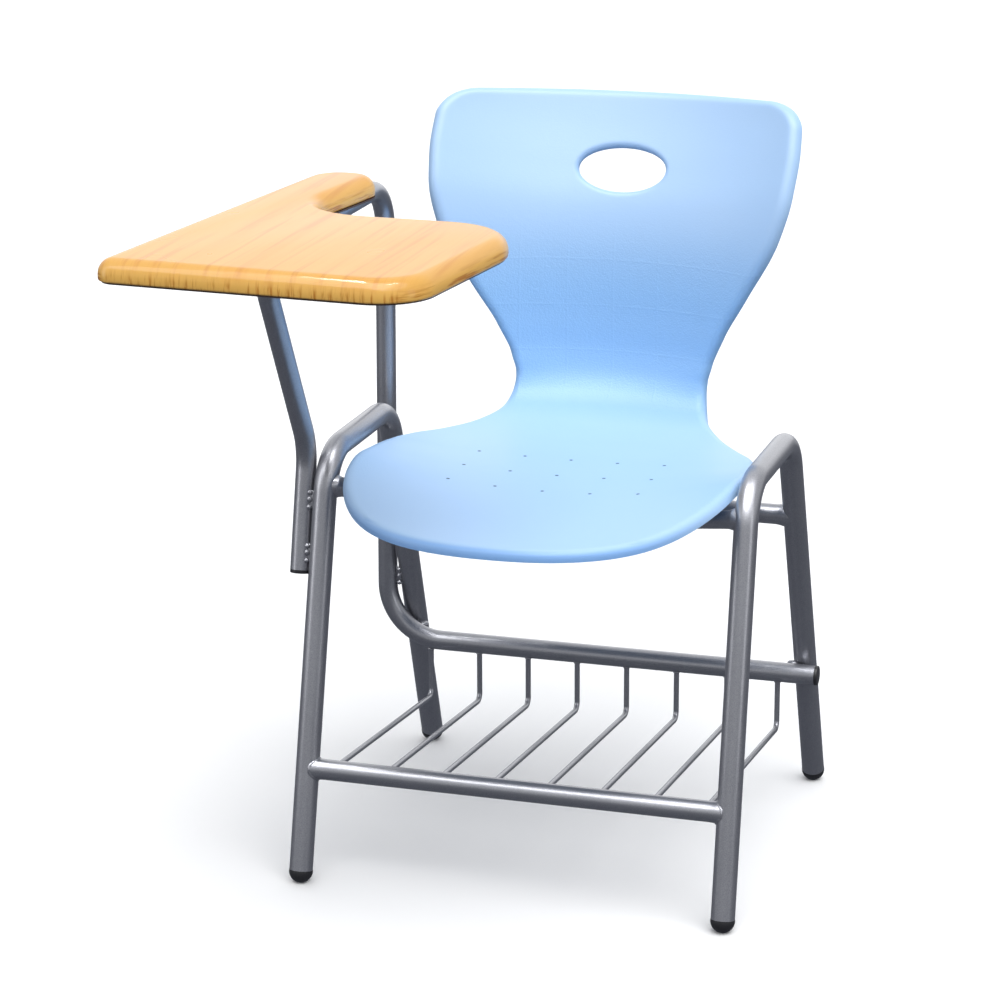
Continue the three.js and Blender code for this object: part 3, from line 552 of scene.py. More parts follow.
# %% Backing sheet
backing, tree, shader, spot, grain = new_finish("backing")
grain.inputs["Scale"].default_value = 350
sheet = mix_colour(tree, grain.outputs["Mask"], (0.045, 0.024, 0.016, 1), (0.095, 0.055, 0.038, 1))
tree.links.new(sheet, shader.inputs["Base Color"])
shader.inputs["Roughness"].default_value = 0.55
bump(tree, shader, grain.outputs["Mask"], 0.3, 0.0003)
print("backing has", len(tree.nodes), "nodes")

# %% [markdown]
# ## Tablet laminate
# The tablet is wrapped in a printed maple laminate. A ready-made wave texture
# gives rings that repeat too evenly. Noise that is squeezed across the board
# and stretched along it gives fibres, streaks and broad bands at three scales,
# as in real wood. On the front edge the same fibres stand upright and darken
# towards the bottom, and on the sides they lie lengthwise, so the edge mixes
# two patterns by which way its faces look.

# %% Tablet laminate: fibres at three scales
tablet_laminate, tree, shader, spot, grain = new_finish("tablet_laminate")
grain.inputs["Scale"].default_value = 300
BOARD_LOW, BOARD_HIGH = (corner.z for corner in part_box("tablet_top"))
axes = tree.nodes.new("ShaderNodeSeparateXYZ")
tree.links.new(spot.outputs["Object"], axes.inputs[0])
facing = tree.nodes.new("ShaderNodeSeparateXYZ")
tree.links.new(spot.outputs["Normal"], facing.inputs[0])
stretch = add_node(tree, "ShaderNodeMapping", Scale=(1.0, 0.035, 0.10))
tree.links.new(spot.outputs["Object"], stretch.inputs["Vector"])
fibre = add_node(tree, "ShaderNodeTexNoise", Scale=420.0, Detail=4.0, Roughness=0.6)
streak = add_node(
    tree, "ShaderNodeTexNoise", Scale=95.0, Detail=3.0, Roughness=0.55, Distortion=0.4)
broad = add_node(tree, "ShaderNodeTexNoise", Scale=28.0, Detail=2.0, Distortion=0.8)
for texture in (fibre, streak, broad):
    tree.links.new(stretch.outputs["Vector"], texture.inputs["Vector"])
side_stretch = add_node(tree, "ShaderNodeMapping", Scale=(0.10, 0.05, 1.0))
tree.links.new(spot.outputs["Object"], side_stretch.inputs["Vector"])
side_fibre = add_node(tree, "ShaderNodeTexNoise", Scale=300.0, Detail=3.0, Roughness=0.6)
tree.links.new(side_stretch.outputs["Vector"], side_fibre.inputs["Vector"])
sideways = math_node(tree, "ABSOLUTE", facing.outputs["X"])
on_side = soft_step(tree, sideways, 0.35, 0.75)
depth = soft_step(tree, axes.outputs["Z"], BOARD_HIGH - 0.0015, BOARD_LOW + 0.004)
print("the board is", round((BOARD_HIGH - BOARD_LOW) * 1000, 1), "mm thick")

# %% Tablet laminate: colour of the face
light_maple, warm_maple = (0.77, 0.420, 0.103, 1), (0.76, 0.372, 0.080, 1)
edge_maple, dark_maple = (0.99, 0.57, 0.135, 1), (0.58, 0.185, 0.020, 1)
streaks = soft_step(tree, streak.outputs["Fac"], 0.52, 0.68)
fibres = soft_step(tree, fibre.outputs["Fac"], 0.42, 0.70)
bands = soft_step(tree, broad.outputs["Fac"], 0.46, 0.66)
face = mix_colour(tree, math_node(tree, "MULTIPLY", bands, 0.75), light_maple, warm_maple)
red_streak, brown_fibre = (0.60, 0.22, 0.055, 1), (0.55, 0.22, 0.07, 1)
face = mix_colour(tree, math_node(tree, "MULTIPLY", streaks, 0.42), face, red_streak)
face = mix_colour(tree, math_node(tree, "MULTIPLY", fibres, 0.06), face, brown_fibre)
print("the face mixes 3 scales of grain")

# %% Tablet laminate: colour of the edge, and the shine
lengthwise = soft_step(tree, side_fibre.outputs["Fac"], 0.46, 0.62)
edge_streak = add_node(tree, "ShaderNodeTexNoise", Scale=230.0, Detail=3.0, Roughness=0.7)
tree.links.new(stretch.outputs["Vector"], edge_streak.inputs["Vector"])
upright = soft_step(tree, edge_streak.outputs["Fac"], 0.47, 0.66)
pattern = tree.nodes.new("ShaderNodeMix")
tree.links.new(on_side, pattern.inputs["Factor"])
tree.links.new(upright, pattern.inputs[2])
tree.links.new(lengthwise, pattern.inputs[3])
low_down = math_node(tree, "MULTIPLY_ADD", math_node(tree, "POWER", depth, 2.0), 0.60, 0.25)
edge_share = math_node(tree, "MULTIPLY", pattern.outputs[0], low_down)
edge = mix_colour(tree, edge_share, edge_maple, dark_maple)
wood = mix_colour(tree, math_node(tree, "MULTIPLY", depth, 0.92), face, edge)
tree.links.new(wood, shader.inputs["Base Color"])
shader.inputs["Specular IOR Level"].default_value = 0.12
shader.inputs["Coat Weight"].default_value = 0.35
shader.inputs["Coat Roughness"].default_value = 0.05
rough = math_node(tree, "MULTIPLY_ADD", grain.outputs["Patches"], 0.10, 0.24)
tree.links.new(rough, shader.inputs["Roughness"])
bump(tree, shader, fibre.outputs["Fac"], 0.06, 0.0002)
print("the laminate has", len(tree.nodes), "nodes")

# %% [markdown]
# ## Bending tube
# A real tube is bent round a former: straight runs joined by arcs. A circle
# that is extruded along each run and spun round each former gives just that,
# and keeps its roundness through bends that lie in different planes, which a
# swept curve often doesn't. The helper takes the corners that a drawing gives,
# and works out where each bend begins.

# %% The tube bender


def bend_tube(corners, radii, diameter, sides=40, step=5):
    """Extrudes a circle along the runs and spins it round every bend."""
    corners = [place(*corner) for corner in corners]
    start_clean()
    heading = (corners[1] - corners[0]).normalized()
    bpy.ops.mesh.primitive_circle_add(
        vertices=sides, radius=diameter * MM / 2, location=corners[0], rotation=aim(heading))
    settle()
    edit("EDGE")
    bpy.ops.mesh.select_all(action="SELECT")
    bpy.ops.mesh.edge_face_add()
    end = corners[0]
    for before, corner, after, radius in zip(corners, corners[1:], corners[2:], radii):
        incoming = (corner - before).normalized()
        outgoing = (after - corner).normalized()
        turn = incoming.angle(outgoing)
        reach = radius * MM * math.tan(turn / 2)
        bpy.ops.mesh.extrude_region_move(
            TRANSFORM_OT_translate={"value": corner - incoming * reach - end})
        axis = incoming.cross(outgoing).normalized()
        centre = corner - incoming * reach + axis.cross(incoming) * radius * MM
        steps = max(3, math.ceil(math.degrees(turn) / step))
        bpy.ops.mesh.spin(steps=steps, angle=-turn, center=centre, axis=axis)
        end = corner + outgoing * reach
    bpy.ops.mesh.extrude_region_move(TRANSFORM_OT_translate={"value": corners[-1] - end})
    mend()
    bpy.ops.object.shade_smooth_by_angle(angle=math.radians(40))
    print("tube with", len(radii), "bends,", len(bpy.context.object.data.vertices), "points")
    return bpy.context.object


# %% [markdown]
# ## The two side frames
# Each side frame is one tube bent like a staple: a front leg, the rail under
# the seat and a rear leg. It could be mirrored from one side, but a mirror
# turns faces inside out and needs mending. As the bender only needs corners,
# one helper that gives a point on a leg at any height is simpler, and it
# places the stretcher, welds and feet later. The legs lean in towards the
# top, so the tops of the frames are a few millimetres closer than their feet.

# %% Side frames: a point on a leg
LEG_D = 25
TOP_Z = 445.6
FOOT_Z = 12
FOOT_Y = 226.4
TOP_Y = {"front": -125.6, "rear": 68.5}
FLOOR_X, TOP_X = 229.4, 225.8


def leg_point(side, leg, z):
    """A point on the middle line of a leg, at a height."""
    foot = -FOOT_Y if leg == "front" else FOOT_Y
    x = FLOOR_X + (TOP_X - FLOOR_X) * z / TOP_Z
    return (side * x, foot + (TOP_Y[leg] - foot) * z / TOP_Z, z)


print("top of the left front leg:", leg_point(1, "front", TOP_Z))

# %% Side frames: bend the tubes
SIDES = {"right": -1, "left": 1}
BEND_RADIUS = 52
for name, side in SIDES.items():
    frame_tube = bend_tube(
        [leg_point(side, "front", FOOT_Z), leg_point(side, "front", TOP_Z),
         leg_point(side, "rear", TOP_Z), leg_point(side, "rear", FOOT_Z)],
        [BEND_RADIUS] * 2, LEG_D)
    hand_over(frame_tube, f"side_tube_{name}", frame_paint, "frame_paint", f"{name}_side_frame")

# %% [markdown]
# ## The cross tubes
# A stretcher joins the front legs low down, a rail joins the rear legs, and a
# bowed rail carries the front of the seat. A boolean could cut their ends to
# the legs, but the cut is inside the weld and never seen, so here they simply
# run into the legs. What is seen is how the weld fills the corner: each tube
# gets extra rings near its ends, and they are widened a little.

# %% A helper that widens a tube at its ends


def swell_ends(piece, ends, length, factor):
    """Widens a tube smoothly towards its ends, where weld metal fills the corner."""
    edit()
    for spot, inward in ends:
        spot, inward = place(*spot), Vector(inward).normalized()
        shape = bmesh.from_edit_mesh(piece.data)
        for vert in shape.verts:
            away = (vert.co - spot).dot(inward)
            if 0 <= away < length * MM:
                centre = spot + inward * away
                share = (1 - away / (length * MM)) ** 2
                vert.co = centre + (vert.co - centre) * (1 + (factor - 1) * share)
        bmesh.update_edit_mesh(piece.data)
    bpy.ops.object.mode_set(mode="OBJECT")


print("ready to widen ends, with leg tubes of", LEG_D, "mm")

# %% A helper for a straight cross tube
RINGS = [0, 11, 12.5, 14, 16, 18, 21, 26]
WELD_START, WELD_LENGTH = 11.5 * MM, 10 * MM


def cross_tube(leg, z, diameter, swell):
    """A straight tube between two legs, with extra rings near its ends."""
    a, b = leg_point(-1, leg, z), leg_point(1, leg, z)
    start_clean()
    length = b[0] - a[0]
    stops = RINGS + [length - ring for ring in reversed(RINGS)]
    bpy.ops.mesh.primitive_circle_add(
        vertices=40, radius=diameter * MM / 2, location=place(*a), rotation=aim((1, 0, 0)))
    settle()
    edit("EDGE")
    bpy.ops.mesh.select_all(action="SELECT")
    for here, there in zip(stops, stops[1:]):
        bpy.ops.mesh.extrude_edges_move(
            TRANSFORM_OT_translate={"value": ((there - here) * MM, 0, 0)})
    mend()
    bpy.ops.object.shade_smooth_by_angle(angle=math.radians(40))
    piece = bpy.context.object
    edit()
    shape = bmesh.from_edit_mesh(piece.data)
    left, right = place(*a).x + WELD_START, place(*b).x - WELD_START
    axis_y, axis_z = place(*a).y, place(*a).z
    for vert in shape.verts:
        away = max(0.0, min(vert.co.x - left, right - vert.co.x))
        share = max(0.0, 1 - away / WELD_LENGTH) ** 2
        grow = 1 + (swell - 1) * share
        vert.co.y = axis_y + (vert.co.y - axis_y) * grow
        vert.co.z = axis_z + (vert.co.z - axis_z) * grow
    bmesh.update_edit_mesh(piece.data)
    bpy.ops.object.mode_set(mode="OBJECT")
    return piece


print("rings at each end:", RINGS, "mm from the leg's middle")

# %% Stretcher and rear rail
CROSS_D = 22
STRETCHER_Z, RAIL_Z = 119.7, 349
stretcher = cross_tube("front", STRETCHER_Z, CROSS_D, 1.06)
hand_over(stretcher, "stretcher_tube", frame_paint, "frame_paint", "front_stretcher")
rear_rail = cross_tube("rear", RAIL_Z, CROSS_D, 1.15)
hand_over(rear_rail, "rear_rail_tube", frame_paint, "frame_paint", "seat_rear_rail")

# %% Bowed front rail
BOW_END_Z = 413
BOW_RINGS = (11, 13, 15.5, 18.5, 22, 27)
bow_ends = {side: Vector(leg_point(side, "front", BOW_END_Z)) for side in (-1, 1)}
bow_corners = {side: Vector((side * 150, -100, 397)) for side in (-1, 1)}
front_rail = bend_tube(
    [bow_ends[-1], bow_corners[-1], bow_corners[1], bow_ends[1]], [60, 60], 19)
edit("EDGE")
flares = []
for side, end in bow_ends.items():
    into = (bow_corners[side] - end).normalized()
    for reach in BOW_RINGS:
        pick("verts", lambda v: True)
        bpy.ops.mesh.bisect(plane_co=place(*(end + into * reach)), plane_no=into)
    flares.append((end + into * 9, into))
swell_ends(front_rail, flares, 16, 1.45)
hand_over(front_rail, "front_rail_tube", frame_paint, "frame_paint", "seat_front_rail")

# %% [markdown]
# ## The tablet arm
# One long tube does three jobs. It starts as the crossbar behind the rear
# legs, turns up outside the right-hand frame, runs forward under the tablet,
# and drops back along the front leg. Four bends, not all in one plane, make it
# the hardest tube of the chair. A curve with a round bevel would be quicker,
# but it twists and flattens where it changes plane, and the bender doesn't.

# %% Arm tube
ARM_D = 22
CROSSBAR = [(244, 147, 152.3), (-253.2, 138, 154.4)]
ARM_TOP_Z, ARM_END_Z = 680, 322
ARM_KNEE = (-251, -119, 448.5)
leg_slope = (TOP_Y["front"] + FOOT_Y) / TOP_Z
ARM_END = (-251, ARM_KNEE[1] - (ARM_KNEE[2] - ARM_END_Z) * leg_slope, ARM_END_Z)
arm_corners = CROSSBAR + [
    (-252.6, 146, ARM_TOP_Z), (-251, -247.2, ARM_TOP_Z), ARM_KNEE, ARM_END]
arm = bend_tube(arm_corners, [64, 50, 33, 65], ARM_D)
hand_over(arm, "arm_tube", frame_paint, "frame_paint", "tablet_arm_tube")

# %% [markdown]
# ## The book rack
# Eight wires run forward from the crossbar, under the seat, to the stretcher.
# Each drops from the crossbar, turns in one tight bend and slopes up to the
# front. They are alike but not equal, because the crossbar runs slightly
# askew, so each is bent to its own place instead of being copied.

# %% Book rack: where the crossbar is
RACK_PITCH = 57.7
RACK_X = [(i - 3.5) * RACK_PITCH for i in range(8)]


def crossbar_at(x, axis):
    """The crossbar's middle line at a place across the chair."""
    (x0, *first), (x1, *last) = CROSSBAR[1], CROSSBAR[0]
    return first[axis] + (last[axis] - first[axis]) * (x - x0) / (x1 - x0)


print("the crossbar's middle is", round(crossbar_at(0, 1), 1), "mm up")

# %% Book rack: bend the wires
WIRE_D, WIRE_BEND, WIRE_LOW_Z, WIRE_FRONT_Z = 6, 9, 86, 118.3
for i, x in enumerate(RACK_X):
    back = crossbar_at(x, 0)
    wire = bend_tube(
        [(x, back, crossbar_at(x, 1) - 9), (x, back, WIRE_LOW_Z),
         (x, STRETCHER_Y + 9, WIRE_FRONT_Z)],
        [WIRE_BEND], WIRE_D, sides=20, step=8)
    hand_over(wire, f"rack_wire_tube_{i + 1}", frame_paint, "frame_paint", f"rack_wire_{i + 1}")

# %% [markdown]
# ## Weld beads
# Where one tube meets another a welder leaves a rounded bead that follows the
# saddle between them. A boolean with a bevel would be fragile on such fine
# shapes. A thin ring is simpler: it starts as a torus round the small tube,
# and each of its points is slid along that tube until it lies on the big one.
# A slight ripple stands for the steps of the torch.

# %% A helper for one bead


def weld_ring(spot, along, radius, other_radius, other_axis, bead):
    """A torus that lies on the saddle where one tube meets another."""
    start_clean()
    along = Vector(along).normalized()
    bpy.ops.mesh.primitive_torus_add(
        location=place(*spot), rotation=aim(along), major_radius=radius * MM,
        minor_radius=bead * MM, major_segments=56, minor_segments=10)
    piece = settle()
    across = along.cross(Vector(other_axis)).normalized()
    centre = place(*spot)
    edit()
    shape = bmesh.from_edit_mesh(piece.data)
    for vert in shape.verts:
        aside = (vert.co - centre).dot(across)
        saddle = math.sqrt(max((other_radius * MM) ** 2 - min(abs(aside), radius * MM) ** 2, 0))
        turn = math.atan2(aside, (vert.co - centre).dot(across.cross(along)))
        ripple = 0.25 * MM * math.sin(turn * 17)
        vert.co += along * (saddle + ripple)
    bmesh.update_edit_mesh(piece.data)
    bpy.ops.object.mode_set(mode="OBJECT")
    bpy.ops.object.shade_smooth()
    return piece


def join(pieces):
    """Joins pieces into one object."""
    start_clean()
    for piece in pieces:
        piece.select_set(True)
    bpy.context.view_layer.objects.active = pieces[0]
    bpy.ops.object.join()
    return bpy.context.object


BEAD_RADIUS = 11.3
print("bead radius:", BEAD_RADIUS, "mm")

# %% Beads on the stretcher and the rear rail
beads = []
for side in (-1, 1):
    for leg, z, bead in (("front", STRETCHER_Z, 1.4), ("rear", RAIL_Z, 1.5)):
        leg_axis = Vector(leg_point(1, leg, TOP_Z)) - Vector(leg_point(1, leg, FOOT_Z))
        beads.append(weld_ring(
            leg_point(side, leg, z), (-side, 0, 0), BEAD_RADIUS, LEG_D / 2, leg_axis, bead))
hand_over(join(beads), "tube_welds", frame_paint, "frame_paint")

# %% [markdown]
# ## Spot welds
# Wires and small plates are held by single lumps of weld metal. A perfect ball
# would look like a bead of glass. An ico sphere is squashed to size, its
# points are moved at random along their normals, and it is smoothed again,
# which gives a lump that is never quite the same. Each lump has its own seed,
# so it comes out the same every time.

# %% A helper for one lump of weld


def weld_blob(spot, size, seed):
    """A small lump of weld metal, roughened by moving its points at random."""
    start_clean()
    bpy.ops.mesh.primitive_ico_sphere_add(subdivisions=3, radius=1, location=place(*spot))
    bpy.context.object.scale = Vector(size) * MM
    piece = settle()
    edit()
    bpy.ops.mesh.select_all(action="SELECT")
    bpy.ops.transform.vertex_random(offset=0.35 * MM, uniform=0.2, normal=0.8, seed=seed)
    bpy.ops.mesh.vertices_smooth(factor=0.5, repeat=2)
    bpy.ops.object.mode_set(mode="OBJECT")
    bpy.ops.object.shade_smooth()
    return piece


print("crossbar at the first wire:", round(crossbar_at(RACK_X[0], 1), 1), "mm up")

# %% Lumps at the wires and where the crossbar meets the rear legs
CROSSBAR_LUMPS = [
    ((216, 157.5, 161), (6, 4, 3)), ((219, 159, 157), (5, 4, 3)),
    ((-214, 151, 168), (6, 5, 3.5)), ((-220, 153, 163), (5, 5, 4))]
blobs = []
for i, x in enumerate(RACK_X):
    blobs.append(weld_blob((x, crossbar_at(x, 0), crossbar_at(x, 1) - 11), (4.2, 4.2, 2.4), i))
    blobs.append(weld_blob((x, STRETCHER_Y + 10.6, 119), (4.4, 2.6, 3.6), i + 20))
for spot, size in CROSSBAR_LUMPS:
    blobs.append(weld_blob(spot, size, abs(spot[0])))
hand_over(join(blobs), "wire_welds", frame_paint, "frame_paint")

# %% [markdown]
# ## Spacers between the arm and the frame
# Three short plates hold the arm's tube a little away from the side frame.
# They are sawn from flat bar, so each starts as a box of that size, and its
# sharp edges are rounded as a file would. The two in front lean with the leg,
# and each plate has a row of small welds along its front.

# %% Spacers
SPACER_HEIGHT = 0.019
spacers = {
    "front_upper": ((-134.6, 396.5), True, 5.5), "front_lower": ((-146.6, 341.5), True, 5.5),
    "rear": ((141, 228), False, 8),
}
lean = math.atan(-leg_slope)
blobs = []
for index, (name, ((y, z), leans, thick)) in enumerate(spacers.items()):
    node_low, node_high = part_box(f"arm_spacer_{name}")
    middle = (node_low + node_high) / 2
    start_clean()
    bpy.ops.mesh.primitive_cube_add(size=1, location=(middle.x, place(0, y, z).y, z * MM))
    bpy.context.object.scale = (node_high.x - node_low.x, thick * MM, SPACER_HEIGHT)
    bpy.context.object.rotation_euler = (lean if leans else 0, 0, 0)
    spacer = settle()
    edit("EDGE")
    bpy.ops.mesh.select_all(action="SELECT")
    bpy.ops.mesh.bevel(offset=0.0012, segments=3)
    bpy.ops.object.mode_set(mode="OBJECT")
    bpy.ops.object.shade_smooth_by_angle(angle=math.radians(35))
    hand_over(spacer, f"spacer_{name}", frame_paint, "frame_paint", f"arm_spacer_{name}")
    x = (middle.x - MIDDLE.x) / MM
    front = -thick / 2 - 1.2
    for up in (-7.5, 0.5, 7.5):
        slide = up * leg_slope if leans else 0
        blobs.append(weld_blob(
            (x + 0.4, y + front + slide, z + up), (3.0, 2.4, 3.6 - abs(up) * 0.1),
            40 + index * 4 + int(up)))
hand_over(join(blobs), "spacer_welds", frame_paint, "frame_paint")

# %% [markdown]
# ## Feet
# The feet are round-bottomed plugs of black plastic pushed into the legs. A
# ball is cut twice: flat along the floor, where it is worn, and square to the
# leg, where its rim meets the tube. Then a narrower neck is extruded into the
# tube, so that no gap shows at the joint.

# %% Feet
FOOT_RADIUS = 0.0128
for name, side in SIDES.items():
    for leg in ("front", "rear"):
        centre = place(*leg_point(side, leg, FOOT_Z))
        up = (place(*leg_point(side, leg, TOP_Z)) - centre).normalized()
        start_clean()
        bpy.ops.mesh.primitive_uv_sphere_add(
            segments=40, ring_count=24, radius=FOOT_RADIUS, location=centre)
        foot = settle()
        edit()
        bpy.ops.mesh.select_all(action="SELECT")
        bpy.ops.mesh.bisect(
            plane_co=(centre.x, centre.y, 0.0001), plane_no=(0, 0, -1),
            clear_outer=True, use_fill=True)
        bpy.ops.mesh.select_all(action="SELECT")
        bpy.ops.mesh.bisect(plane_co=centre, plane_no=up, clear_outer=True, use_fill=True)
        bpy.ops.mesh.extrude_region_move(TRANSFORM_OT_translate={"value": up * 0.0012})
        bpy.ops.mesh.extrude_region_move(TRANSFORM_OT_translate={"value": (0, 0, 0)})
        bpy.ops.transform.resize(value=(0.86, 0.86, 0.86))
        mend()
        bpy.ops.object.shade_smooth_by_angle(angle=math.radians(35))
        hand_over(
            foot, f"foot_{leg}_{name}", black_plastic, "black_plastic", f"foot_cap_{leg}_{name}")

# %% [markdown]
# ## End plugs
# The arm's two open ends are closed by low black caps. Each is a disc as wide
# as the tube, and only the edge of its outer face is bevelled, because the
# inner face sits on the tube's end.

# %% End plugs
PLUG_MIDDLE, PLUG_RIM = 2.1, 3.6
arm_ends = {
    "crossbar": (Vector(CROSSBAR[0]), Vector(CROSSBAR[0]) - Vector(CROSSBAR[1])),
    "front": (Vector(ARM_END), Vector(ARM_END) - Vector(ARM_KNEE)),
}
for name, (spot, outward) in arm_ends.items():
    outward = outward.normalized()
    start_clean()
    bpy.ops.mesh.primitive_cylinder_add(
        vertices=40, radius=ARM_D * MM / 2, depth=0.0036,
        location=place(*(spot + outward * PLUG_MIDDLE)), rotation=aim(outward))
    plug = settle()
    edit("EDGE")
    rim = place(*(spot + outward * PLUG_RIM))
    pick("edges", lambda e: all((v.co - rim).dot(outward) > 0 for v in e.verts))
    bpy.ops.mesh.bevel(offset=0.0014, segments=4)
    mend()
    bpy.ops.object.shade_smooth_by_angle(angle=math.radians(35))
    hand_over(plug, f"arm_plug_{name}", black_plastic, "black_plastic", f"arm_end_plug_{name}")

# %% [markdown]
# ## The writing tablet
# The tablet is a board whose plan has six corners, each rounded to its own
# radius, with a soft rolled edge. Tracing it with many points would give
# lumpy arcs. It starts as a flat polygon with one point for each corner, and
# each point is bevelled into a true arc: an arc of radius r in a corner that
# turns by an angle starts r times the tangent of half that angle from the
# point. Then the plate is extruded up, and its upper edge is bevelled to the
# roll's radius.

# %% The tablet's outline
TABLET_CORNERS = [
    (-334, -469, 18), (-8, -487, 54), (24, -198, 78),
    (-235, -194, 75), (-206, 17, 30), (-282, 17, 38)]


def tablet_outline(height, corners):
    """A flat plate with the tablet's corners, each rounded to its radius."""
    start_clean()
    bpy.ops.mesh.primitive_circle_add(
        vertices=len(corners), radius=1, fill_type="NGON", location=(0, 0, height))
    piece = settle()
    spots = [place(x, y, 0).xy for x, y, _ in corners]
    for vert, spot in zip(piece.data.vertices, spots):
        vert.co = (spot.x, spot.y, height)
    edit()
    for i, (_, _, radius) in enumerate(corners):
        before, here, after = spots[i - 1], spots[i], spots[(i + 1) % len(spots)]
        turn = (here - before).angle(after - here)
        pick("verts", lambda v: (v.co.xy - here).length < 1e-5)
        bpy.ops.mesh.bevel(
            offset_type="OFFSET", offset=radius * MM * math.tan(turn / 2), segments=12,
            affect="VERTICES", clamp_overlap=False)
    print("outline of", len(bmesh.from_edit_mesh(piece.data).verts), "points")
    return piece


# %% Tablet board
TABLET_ROLL, LOWER_ROLL = 16 * MM, 2 * MM
board = tablet_outline(BOARD_LOW, TABLET_CORNERS)
bpy.ops.mesh.select_all(action="SELECT")
bpy.ops.mesh.extrude_region_move(TRANSFORM_OT_translate={"value": (0, 0, BOARD_HIGH - BOARD_LOW)})
pick("edges", lambda e: all(v.co.z > BOARD_HIGH - 1e-5 for v in e.verts))
bpy.ops.mesh.bevel(offset=TABLET_ROLL, segments=10, clamp_overlap=False)
pick("edges", lambda e: all(v.co.z < BOARD_LOW + 1e-5 for v in e.verts))
bpy.ops.mesh.bevel(offset=LOWER_ROLL, segments=3, clamp_overlap=False)
mend()
bpy.ops.object.shade_smooth_by_angle(angle=math.radians(30))
hand_over(board, "tablet_board", tablet_laminate, "tablet_laminate", "tablet_top")

# %% [markdown]
# ## The backing sheet
# A thin dark sheet closes the board's underside. It has the board's outline,
# set in a little, so the same outline is extruded by the sheet's thickness
# and then fitted to the size that the technical model gives.

# %% Backing sheet: shape and fit
sheet_low, sheet_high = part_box("tablet_backing")
sheet_size = sheet_high - sheet_low
sheet = tablet_outline(sheet_low.z, TABLET_CORNERS)
bpy.ops.mesh.select_all(action="SELECT")
bpy.ops.mesh.extrude_region_move(TRANSFORM_OT_translate={"value": (0, 0, sheet_size.z)})
mend()
bpy.ops.object.shade_smooth_by_angle(angle=math.radians(30))
middle = (sheet_low + sheet_high) / 2
for vert in sheet.data.vertices:
    vert.co.x = middle.x + (vert.co.x - middle.x) * sheet_size.x / sheet.dimensions.x
    vert.co.y = middle.y + (vert.co.y - middle.y) * sheet_size.y / sheet.dimensions.y
hand_over(sheet, "tablet_backing_sheet", backing, "backing", "tablet_backing")

# %% [markdown]
# ## The shell
# The shell is moulded in one sheet: a seat, a narrow waist and a wide back,
# with every edge turned down. Sculpting it would leave waves that shine shows
# at once, and no stack of simple shapes comes near it. It is drawn the way a
# pattern maker would: a middle line in side view, half widths along that line,
# and how much the sides lift. A grid laid over that drawing gives clean rows
# that follow the form. The first thing is the middle line, a smooth curve
# through points about a hand's width apart.

# %% The shell's middle line
SPINE = np.array([
    (-294, 411), (-240, 410.5), (-175, 412.5), (-105, 414), (-40, 416), (20, 418),
    (80, 419.5), (126, 426), (160, 442.5), (179, 466), (184.5, 495), (183.5, 530),
    (183.5, 572), (188.5, 616), (200, 658.5), (217.5, 698), (237.5, 740.5), (254, 779)], float)


def draw_spine(points, count=1200):
    """A smooth curve through the points, with the distance along it."""
    place_in = np.linspace(0, len(points) - 1, count)
    i = np.minimum(place_in.astype(int), len(points) - 1)
    t = (place_in - i)[:, None]
    p0, p1 = points[np.maximum(i - 1, 0)], points[i]
    p2, p3 = points[np.minimum(i + 1, len(points) - 1)], points[np.minimum(i + 2, len(points) - 1)]
    v0, v1 = (p2 - p0) / 2, (p3 - p1) / 2
    line = (2 * p1 - 2 * p2 + v0 + v1) * t**3 + (3 * p2 - 3 * p1 - 2 * v0 - v1) * t**2 + v0 * t + p1
    run = np.r_[0, np.cumsum(np.hypot(*np.diff(line, axis=0).T))]
    slope = np.gradient(line, run, axis=0)
    return line, run, slope / np.linalg.norm(slope, axis=1)[:, None]


spine, spine_run, spine_slope = draw_spine(SPINE)
SPINE_LENGTH = spine_run[-1]


def reach_y(y):
    """How far along the middle line a depth is reached."""
    return spine_run[np.argmax(spine[:, 0] >= y)]


def reach_z(z):
    """How far along the middle line a height is reached."""
    return spine_run[np.argmax(spine[:, 1] >= z)]


print("the middle line is", round(SPINE_LENGTH, 1), "mm long")

# %% [markdown]
# ## Widths and dish
# The outline is a list of half widths along the middle line, and the dish is
# how fast the sides lift away from it. A plain spline through such lists
# swings past its points, which shows as a bump in the outline, so this curve
# is made to never overshoot. The sides of the back also drop at the top,
# which gives the crown, and the seat's sides curl up near the waist.

# %% Widths and dish along the middle line
SEAT_HALF = 207.5
FRONT_CAP = reach_y(-60)
WIDTHS = [
    (FRONT_CAP - 40, 207.5), (FRONT_CAP, 207.5), (reach_y(-10), 207.5), (reach_y(43), 192.5),
    (reach_y(80), 168), (reach_y(118), 138), (reach_y(150), 115), (reach_z(460), 107),
    (reach_z(486), 110.5), (reach_z(527), 126.5), (reach_z(576), 155), (reach_z(630), 187.5),
    (reach_z(670), 199.5), (reach_z(710), 202.5), (SPINE_LENGTH - 26, 201), (SPINE_LENGTH, 203)]
DISHES = [
    (0, 0.0001), (reach_y(-96), 0.00046), (reach_y(-41), 0.00032), (reach_y(14), 0.00016),
    (reach_y(80), 0.00018), (reach_y(150), 0.0005), (reach_z(486), 0.0017),
    (reach_z(600), 0.00158), (SPINE_LENGTH, 0.00144)]


